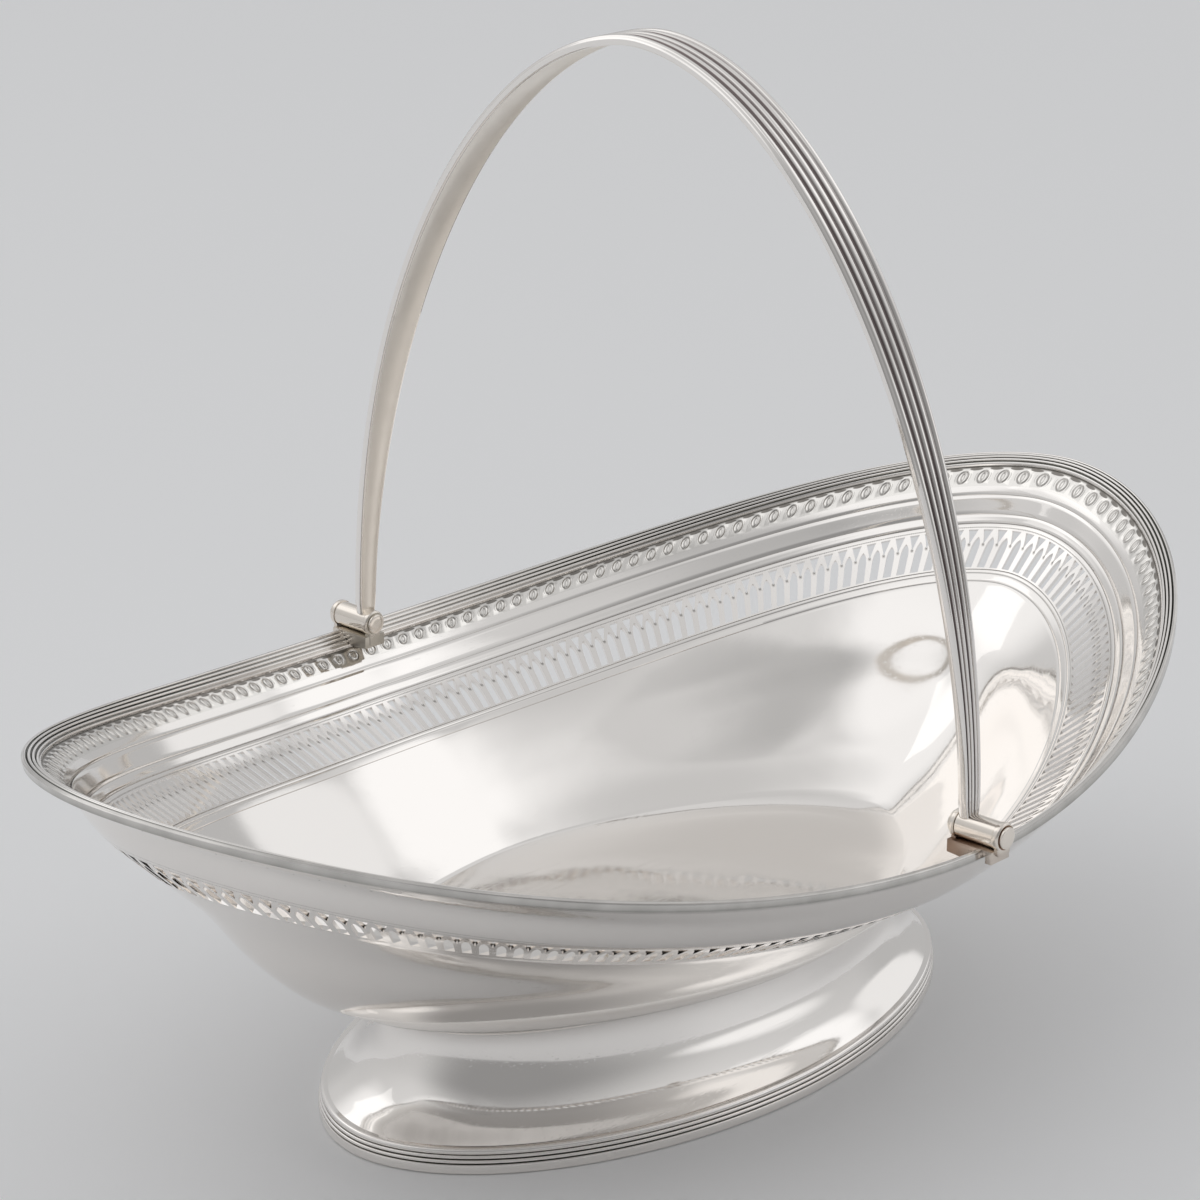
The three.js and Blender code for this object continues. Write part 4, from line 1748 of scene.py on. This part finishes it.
    def build(self, finish: bpy.types.Material, hollow: bpy.types.Material) -> bpy.types.Object:
        """Makes and dresses the strap.

        Args:
            finish: The silver of its outside.
            hollow: The silver of its hollow back.

        Returns:
            The dressed piece.
        """
        path = self.path()
        ahead = np.gradient(path, axis=0)
        ahead /= np.linalg.norm(ahead, axis=1)[:, None]
        width = self.width_at((path[:, 1] - self.foot_z) / self.rise)
        table = np.array(self.section())
        rows = len(table) - 1
        piece = grid_piece("handle_strap", self.steps, rows)
        column, row = grid_cells(piece, self.steps, rows)
        lift = table[row, 1] * self.thickness
        out_y, out_z = -ahead[column, 1], ahead[column, 0]
        points = np.column_stack(
            [
                table[row, 0] * width[column],
                path[column, 0] + lift * out_y,
                path[column, 1] + lift * out_z,
            ]
        )
        place_points(piece, self.leaned(points) * MM)
        set_marks(piece, "cavity", table[row, 2])
        behind = (np.abs(table[:, 0]) <= self.edge_rows[-1][0]) & (table[:, 1] < 0)
        set_marks(piece, "behind", behind[row])
        set_pattern_map(piece, column / self.steps, table[row, 0])
        make_active(piece)
        bpy.ops.object.mode_set(mode="EDIT")
        bpy.ops.mesh.select_all(action="SELECT")
        bpy.ops.mesh.remove_doubles(threshold=MERGE_DISTANCE)
        bpy.ops.mesh.select_all(action="DESELECT")
        bpy.ops.mesh.select_mode(type="EDGE")
        bpy.ops.mesh.select_non_manifold()
        bpy.ops.mesh.fill_holes(sides=0)
        bpy.ops.mesh.select_all(action="SELECT")
        bpy.ops.mesh.normals_make_consistent(inside=False)
        bpy.ops.object.mode_set(mode="OBJECT")
        smooth_faces(piece, SHARP_ANGLE)
        dress(piece, Body.HANDLE, Slot.MOULDING, "handle", finish, hollow)
        give_second_finish(piece, face_marks(piece, "behind") > 1 - SMALL_STEP)
        return piece


@dataclass
class SwingHinge:
    """One hinge: a knuckle on the handle's foot, a saddle with two ears, and a pin."""

    name: str
    side: int
    axis_z: float = 85.7
    inner_y: float = 98.6
    outer_y: float = 113.0
    ear_radius: float = 3.5
    ear_thickness: float = 1.6
    ear_neck: float = 4.4
    ear_taper: float = 0.4
    ear_step: float = 0.5
    ear_rounding: float = 0.65
    inner_ear_low: float = 79.4
    outer_ear_low: float = 81.2
    half_length: float = 3.5
    outline: tuple[tuple[float, float], ...] = (
        (98.8, 82.4),
        (98.8, 79.2),
        (104.4, 78.8),
        (105.4, 79.6),
        (106.6, 81.2),
        (109.9, 81.2),
        (109.9, 79.4),
        (111.6, 79.4),
        (111.6, 82.4),
    )
    barrel_rows: tuple[tuple[float, float, float], ...] = (
        # y, radius, cavity
        # the end faces are dark with painted shade in the gap by the ears
        (100.305, 1.5, 1.0),
        (100.305, 3.13, 0.6),
        (100.425, 3.25, 0.1),
    )
    pin_rows: tuple[tuple[float, float, float], ...] = (
        # y, radius, cavity
        (97.8, 0.0, 0.0),
        (97.8, 1.35, 0.0),
        (97.84, 2.35, 0.0),
        (98.0, 2.64, 0.0),
        (98.2, 2.7, 0.2),
        # the heads' backs and rims are dark with painted shade in the gap by the ears
        (98.57, 2.68, 1.0),
        (98.55, 3.0, 1.0),
        (98.58, 3.02, 1.0),
        (98.59, 1.2, 1.0),
    )
    bore: float = 1.5
    bore_length: float = 60.0
    bore_middle: float = 105.0
    edge_bevel: float = 0.22
    shade_below: float = 85.0
    shade_run: float = 2.5
    light_from: float = 102.0
    light_run: float = 5.0
    saddle_painted_shade: float = 0.8
    lip_lightening: float = 0.3
    sides: int = 56

    def turned(self, name: str, rows: Sequence[tuple[float, float, float]]) -> bpy.types.Object:
        """Turns rows of (y, radius, cavity) round the hinge's axis.

        Args:
            name: The piece's name, without its side.
            rows: The closed section.

        Returns:
            The piece.
        """
        def place(around: np.ndarray, y: np.ndarray, radius: np.ndarray) -> np.ndarray:
            """Points round the axis.

            Args:
                around: Shares of the way round.
                y: The places along the axis.
                radius: The distances from it.

            Returns:
                The points, in millimetres.
            """
            angle = around * TURN
            x, z = radius * np.cos(angle), self.axis_z + radius * np.sin(angle)
            return np.column_stack([x, self.side * y, z])

        return lathe_grid(f"{name}_{self.name}", self.sides, rows, place, SHARP_ANGLE)

    def mirrored(
        self, rows: Sequence[tuple[float, float, float]]
    ) -> list[tuple[float, float, float]]:
        """Rows of one end, and then those of the other end.

        Args:
            rows: The rows of the inner end.

        Returns:
            The rows of both ends.
        """
        both = self.inner_y + self.outer_y
        return [*rows, *((both - y, radius, cavity) for y, radius, cavity in reversed(rows))]

    def build_knuckle(self, finish: bpy.types.Material) -> bpy.types.Object:
        """The barrel that the handle ends in.

        Args:
            finish: Its silver.

        Returns:
            The dressed piece.
        """
        piece = self.turned("knuckle", self.mirrored(self.barrel_rows) + [self.barrel_rows[0]])
        dress(piece, Body.HANDLE, Slot.HINGE, f"handle_knuckle_{self.name}", finish)
        return piece

    def build_pin(self, finish: bpy.types.Material) -> bpy.types.Object:
        """The pin, its two ends closed over into low round heads.

        Args:
            finish: Its silver.

        Returns:
            The dressed piece.
        """
        piece = self.turned("pin", self.mirrored(self.pin_rows))
        dress(piece, Body.BASKET, Slot.HINGE, f"hinge_pin_{self.name}", finish)
        return piece

    def build_bracket(self, finish: bpy.types.Material) -> bpy.types.Object:
        """The saddle on the rim and its two ears.

        Args:
            finish: Its silver.

        Returns:
            The dressed piece.
        """
        saddle = self._prism("bracket", np.array(self.outline), None)
        for start, face, low in (
            (self.inner_y, self.inner_y, self.inner_ear_low),
            (self.outer_y - self.ear_thickness, self.outer_y, self.outer_ear_low),
        ):
            ear = self._prism("ear", self._ear_outline(low), start)
            off = np.abs(face_middles(ear)[:, 1]) / MM - face
            bevel_faces(ear, np.abs(off) < self.ear_thickness / 4, self.ear_rounding * MM)
            apply_modifier(saddle, "BOOLEAN", operation="UNION", object=ear, solver="EXACT")
            bpy.data.objects.remove(ear)
        deselect_all()
        bpy.ops.mesh.primitive_cylinder_add(
            vertices=24,
            radius=self.bore * MM,
            depth=self.bore_length * MM,
            location=(0, self.side * self.bore_middle * MM, self.axis_z * MM),
            rotation=(math.pi / 2, 0, 0),
        )
        drill = bpy.context.object
        apply_modifier(saddle, "BOOLEAN", operation="DIFFERENCE", object=drill, solver="EXACT")
        bpy.data.objects.remove(drill)
        close_seams(saddle)
        apply_modifier(
            saddle,
            "BEVEL",
            width=self.edge_bevel * MM,
            segments=2,
            limit_method="ANGLE",
            angle_limit=0.9,
        )
        # painted shade on the saddle below the barrel, in the finish's brown tint, lighter towards
        # the outer end
        points = points_of(saddle) / MM
        low = np.clip((self.shade_below - points[:, 2]) / self.shade_run, 0, 1)
        out = np.clip((np.abs(points[:, 1]) - self.light_from) / self.light_run, 0, 1)
        set_marks(saddle, "cavity", low * (self.saddle_painted_shade - self.lip_lightening * out))
        saddle.name = f"bracket_{self.name}"
        saddle.data.name = saddle.name
        smooth_faces(saddle, SHARP_ANGLE)
        dress(saddle, Body.BASKET, Slot.HINGE, f"hinge_bracket_{self.name}", finish)
        return saddle

    def _ear_outline(self, low: float) -> np.ndarray:
        """The ear's outline, (x, z): a round lug on a neck that ends at a height.

        Args:
            low: The neck's lower end.

        Returns:
            The corners, in order.
        """
        start = -math.acos(self.ear_neck / 2 / self.ear_radius)
        turns = np.linspace(start, math.pi - start, 37)
        lug = np.column_stack(
            [self.ear_radius * np.cos(turns), self.axis_z + self.ear_radius * np.sin(turns)]
        )
        half, foot = self.ear_neck / 2, self.ear_neck / 2 - self.ear_taper
        high = low + self.ear_step
        return np.vstack([[foot, low], [half, high], lug, [-half, high], [-foot, low]])

    def _prism(self, name: str, outline: np.ndarray, start: float | None) -> bpy.types.Object:
        """Extrudes a flat outline: across the rim where start is None, or else along it.

        Args:
            name: The piece's name.
            outline: Corners: (y, z) of the saddle, or (x, z) of an ear.
            start: Where an ear begins along the pin.

        Returns:
            The closed prism.
        """
        deselect_all()
        bpy.ops.mesh.primitive_circle_add(vertices=len(outline), radius=1.0, fill_type="NGON")
        piece = bpy.context.object
        piece.name = name
        if start is None:
            x = np.full(len(outline), -self.half_length)
            points = np.column_stack([x, self.side * outline[:, 0], outline[:, 1]])
            step = (2 * self.half_length * MM, 0, 0)
        else:
            y = np.full(len(outline), self.side * start)
            points = np.column_stack([outline[:, 0], y, outline[:, 1]])
            step = (0, self.side * self.ear_thickness * MM, 0)
        place_points(piece, points * MM)
        bpy.ops.object.mode_set(mode="EDIT")
        bpy.ops.mesh.select_all(action="SELECT")
        bpy.ops.mesh.extrude_region_move(TRANSFORM_OT_translate={"value": step})
        bpy.ops.mesh.select_all(action="SELECT")
        bpy.ops.mesh.normals_make_consistent(inside=False)
        bpy.ops.object.mode_set(mode="OBJECT")
        return piece


# The studio


def direction(azimuth: float, elevation: float) -> Vector:
    """The direction at an azimuth, from +Y towards +X, and an elevation, in degrees."""
    az, el = math.radians(azimuth), math.radians(elevation)
    return Vector((math.sin(az) * math.cos(el), math.cos(az) * math.cos(el), math.sin(el)))


@dataclass(frozen=True)
class Glow:
    """A soft oval patch of the tent, lighter or darker than the rest."""

    azimuth: float
    elevation: float
    half_width: float
    half_height: float
    level: float
    softness: float

    def laid_on(self, sheet: NodeSheet, place: object, under: object) -> bpy.types.NodeSocket:
        """Mixes the patch into the tent's level.

        Args:
            sheet: The world's nodes.
            place: The direction socket.
            under: The level under the patch.

        Returns:
            The new level.
        """
        middle = direction(self.azimuth, self.elevation)
        across = middle.cross(Vector((0, 0, 1))).normalized()
        axes = (
            (across, math.sin(math.radians(self.half_width))),
            (across.cross(middle), math.sin(math.radians(self.half_height))),
        )
        reach = None
        for axis, half in axes:
            off = sheet.add("ShaderNodeVectorMath", operation="DOT_PRODUCT")
            sheet.put(off.inputs[0], place)
            off.inputs[1].default_value = axis / half
            square = sheet.maths("MULTIPLY", off.outputs["Value"], off.outputs["Value"])
            reach = square if reach is None else sheet.maths("ADD", reach, square)
        ahead = sheet.add("ShaderNodeVectorMath", operation="DOT_PRODUCT")
        sheet.put(ahead.inputs[0], place)
        ahead.inputs[1].default_value = middle
        inside = sheet.fade(reach, 1 + self.softness, 1 - self.softness)
        inside = sheet.maths("MULTIPLY", inside, sheet.fade(ahead.outputs["Value"], 0.0, 0.05))
        more = sheet.maths("SUBTRACT", self.level, under)
        return sheet.maths("MULTIPLY_ADD", more, inside, under)


@dataclass
class Studio:
    """A pale floor, a soft light tent and the camera."""

    azimuth: float = 47.16
    elevation: float = 19.0
    roll: float = 0.63
    distance: float = 0.8609
    lens: float = 103.635
    aim_right: float = -0.01155
    aim_z: float = 0.1164
    floor_size: float = 14.0
    floor_z: float = -0.00005
    floor_roughness: float = 0.35
    floor_shine: float = 0.3
    floor_colour: tuple[float, float, float, float] = (0.91, 0.914, 0.922, 1.0)
    horizon: float = 0.56
    zenith: float = 0.71
    tent_colour: tuple[float, float, float, float] = (0.99, 0.993, 1.0, 1.0)
    glows: tuple[Glow, ...] = (
        # where the tent is dim, and where its walls are bright
        Glow(214, 18, 47, 38, 0.29, 0.83),
        Glow(157, 70, 33, 7, 0.49, 0.94),
        Glow(129, 63, 11, 24, 1.08, 0.45),
        Glow(108, 40, 13, 12, 1.05, 0.55),
        Glow(140, 13, 18, 8, 0.95, 0.83),
        Glow(276, 62, 22, 16, 0.99, 0.54),
        Glow(351, 58, 23, 35, 0.95, 0.50),
        Glow(96, 73, 30, 18, 0.60, 0.85),
        Glow(60, 2, 45, 33, 0.50, 0.24),
        Glow(91, 21, 15, 10, 0.88, 0.35),
    )

    def camera(self) -> None:
        """Places the camera at the photograph's viewing angle."""
        az, el, roll = (math.radians(v) for v in (self.azimuth, self.elevation, self.roll))
        ahead = Vector((math.sin(az) * math.cos(el), math.cos(az) * math.cos(el), -math.sin(el)))
        level = ahead.cross(Vector((0, 0, 1))).normalized()
        upright = level.cross(ahead)
        right = math.cos(roll) * level + math.sin(roll) * upright
        up = -math.sin(roll) * level + math.cos(roll) * upright
        target = Vector((0, 0, self.aim_z)) + self.aim_right * right
        place = target - self.distance * ahead
        lens = bpy.data.cameras.new("camera")
        lens.lens = self.lens
        lens.sensor_width = 36.0
        lens.clip_end = 100.0
        holder = bpy.data.objects.new("camera", lens)
        bpy.context.scene.collection.objects.link(holder)
        turned = Matrix((right, up, -ahead)).transposed().to_4x4()
        holder.matrix_world = Matrix.Translation(place) @ turned
        bpy.context.scene.camera = holder

    def floor(self) -> None:
        """Lays the pale floor."""
        deselect_all()
        bpy.ops.mesh.primitive_plane_add(size=self.floor_size, location=(0, 0, self.floor_z))
        floor = bpy.context.object
        floor.name = "floor"
        made = bpy.data.materials.new("pale_floor")
        made.use_nodes = True
        shader = made.node_tree.nodes["Principled BSDF"]
        shader.inputs["Base Color"].default_value = self.floor_colour
        shader.inputs["Roughness"].default_value = self.floor_roughness
        shader.inputs["Specular IOR Level"].default_value = self.floor_shine
        floor.data.materials.append(made)

    def world(self) -> None:
        """Makes the tent: grey at the horizon, lighter overhead, with soft glows on its walls."""
        world = bpy.data.worlds.new("tent")
        bpy.context.scene.world = world
        world.use_nodes = True
        sheet = NodeSheet(world.node_tree)
        place = sheet.add("ShaderNodeTexCoord").outputs["Generated"]
        split = sheet.add("ShaderNodeSeparateXYZ")
        sheet.put(split.inputs[0], place)
        level = sheet.fade(split.outputs[2], -0.05, 0.9, low=self.horizon, high=self.zenith)
        for glow in self.glows:
            level = glow.laid_on(sheet, place, level)
        background = world.node_tree.nodes["Background"]
        sheet.put(background.inputs["Strength"], level)
        background.inputs["Color"].default_value = self.tent_colour

    def lamp(
        self,
        name: str,
        azimuth: float,
        elevation: float,
        size: tuple[float, float],
        level: float,
        distance: float = 1.5,
    ) -> None:
        """Adds a soft rectangular lamp that faces the basket.

        Args:
            name: The lamp's name.
            azimuth: Where it stands, in degrees from +Y towards +X.
            elevation: How high it stands, in degrees.
            size: Its width and height, in metres.
            level: How bright it looks, where 1 is white.
            distance: How far it stands from the basket, in metres.
        """
        light = bpy.data.lights.new(name, "AREA")
        light.shape = "RECTANGLE"
        light.size, light.size_y = size
        light.energy = level * math.pi * size[0] * size[1]
        lamp = bpy.data.objects.new(name, light)
        bpy.context.scene.collection.objects.link(lamp)
        middle = Vector((0, 0, 0.08))
        place = middle + distance * direction(azimuth, elevation)
        turn = (middle - place).to_track_quat("-Z", "Y").to_matrix().to_4x4()
        lamp.matrix_world = Matrix.Translation(place) @ turn

    def build(self) -> None:
        """Makes the whole studio."""
        bpy.context.scene.view_settings.view_transform = "Standard"
        self.camera()
        self.floor()
        self.world()
        self.lamp("softbox", azimuth=335, elevation=45, size=(1.0, 0.8), level=0.2)


FINISHES = (
    SilverFinish("polished_sheet", wave=0.42),
    SilverFinish(
        "gallery_silver",
        dotted=(DottedLine(5.0, 0.015, 1500), DottedLine(5.915, 0.014, 1500)),
        wave=0.12,
    ),
    SilverFinish("flare_silver", dotted=(DottedLine(6.0, 0.024, 1500),), wave=0.14),
    SilverFinish(
        "bright_cut_border",
        colour=(0.87, 0.845, 0.81, 1.0),
        roughness=0.10,
        wave=0.08,
        bright_cut=True,
    ),
    SilverFinish(
        "reeded_silver", wave=0.006, tarnish_and_shade=1.0, tarnish_and_shade_colour=(0.07, 0.074, 0.06, 1.0)
    ),
    SilverFinish(
        "strap_silver", wave=0.02, tarnish_and_shade=1.0, tarnish_and_shade_colour=(0.2, 0.168, 0.165, 1.0)
    ),
    SilverFinish(
        "hollow_silver",
        colour=(0.97, 0.92, 0.85, 1.0),
        tarnish_and_shade_colour=(0.42, 0.34, 0.27, 1.0),
        roughness=0.3,
        roughness_spread=0.15,
        wave=0.05,
    ),
    SilverFinish("foot_silver", wave=0.14),
    # the two hinges' finishes are lit and shaded copies: their dark colours paint the shade that
    # each hinge stands in
    *(
        SilverFinish(
            f"hinge_silver_{name}",
            colour=(0.86, 0.80, 0.73, 1.0),
            tarnish_and_shade_colour=dark,
            roughness=0.12,
            wave=0.06,
        )
        for name, dark in (("near", (0.24, 0.14, 0.085, 1.0)), ("far", (0.56, 0.53, 0.47, 1.0)))
    ),
)


def main() -> None:
    """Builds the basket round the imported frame."""
    logging.basicConfig(level=logging.INFO, format="%(name)s: %(message)s")
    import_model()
    Studio().build()
    groups = FinishGroups()
    finish = {kind.name: kind.material(groups) for kind in FINISHES}

    face = BowlFace()
    BowlBody(face).build(finish["polished_sheet"])
    GalleryTile().build(face, finish["gallery_silver"])
    BrightCutTile().build(face, finish["flare_silver"], finish["bright_cut_border"])
    RimMoulding(face).build(finish["reeded_silver"])
    foot = OvalFoot()
    foot.build_foot(finish["foot_silver"])
    foot.build_wire(finish["reeded_silver"])
    StrapHandle().build(finish["strap_silver"], finish["hollow_silver"])
    for name, side in (("near", -1), ("far", 1)):
        hinge = SwingHinge(name, side)
        shaded_silver = finish[f"hinge_silver_{name}"]
        hinge.build_knuckle(shaded_silver)
        hinge.build_bracket(shaded_silver)
        hinge.build_pin(shaded_silver)
    deselect_all()
    bpy.context.view_layer.update()


if __name__ == "__main__":
    main()
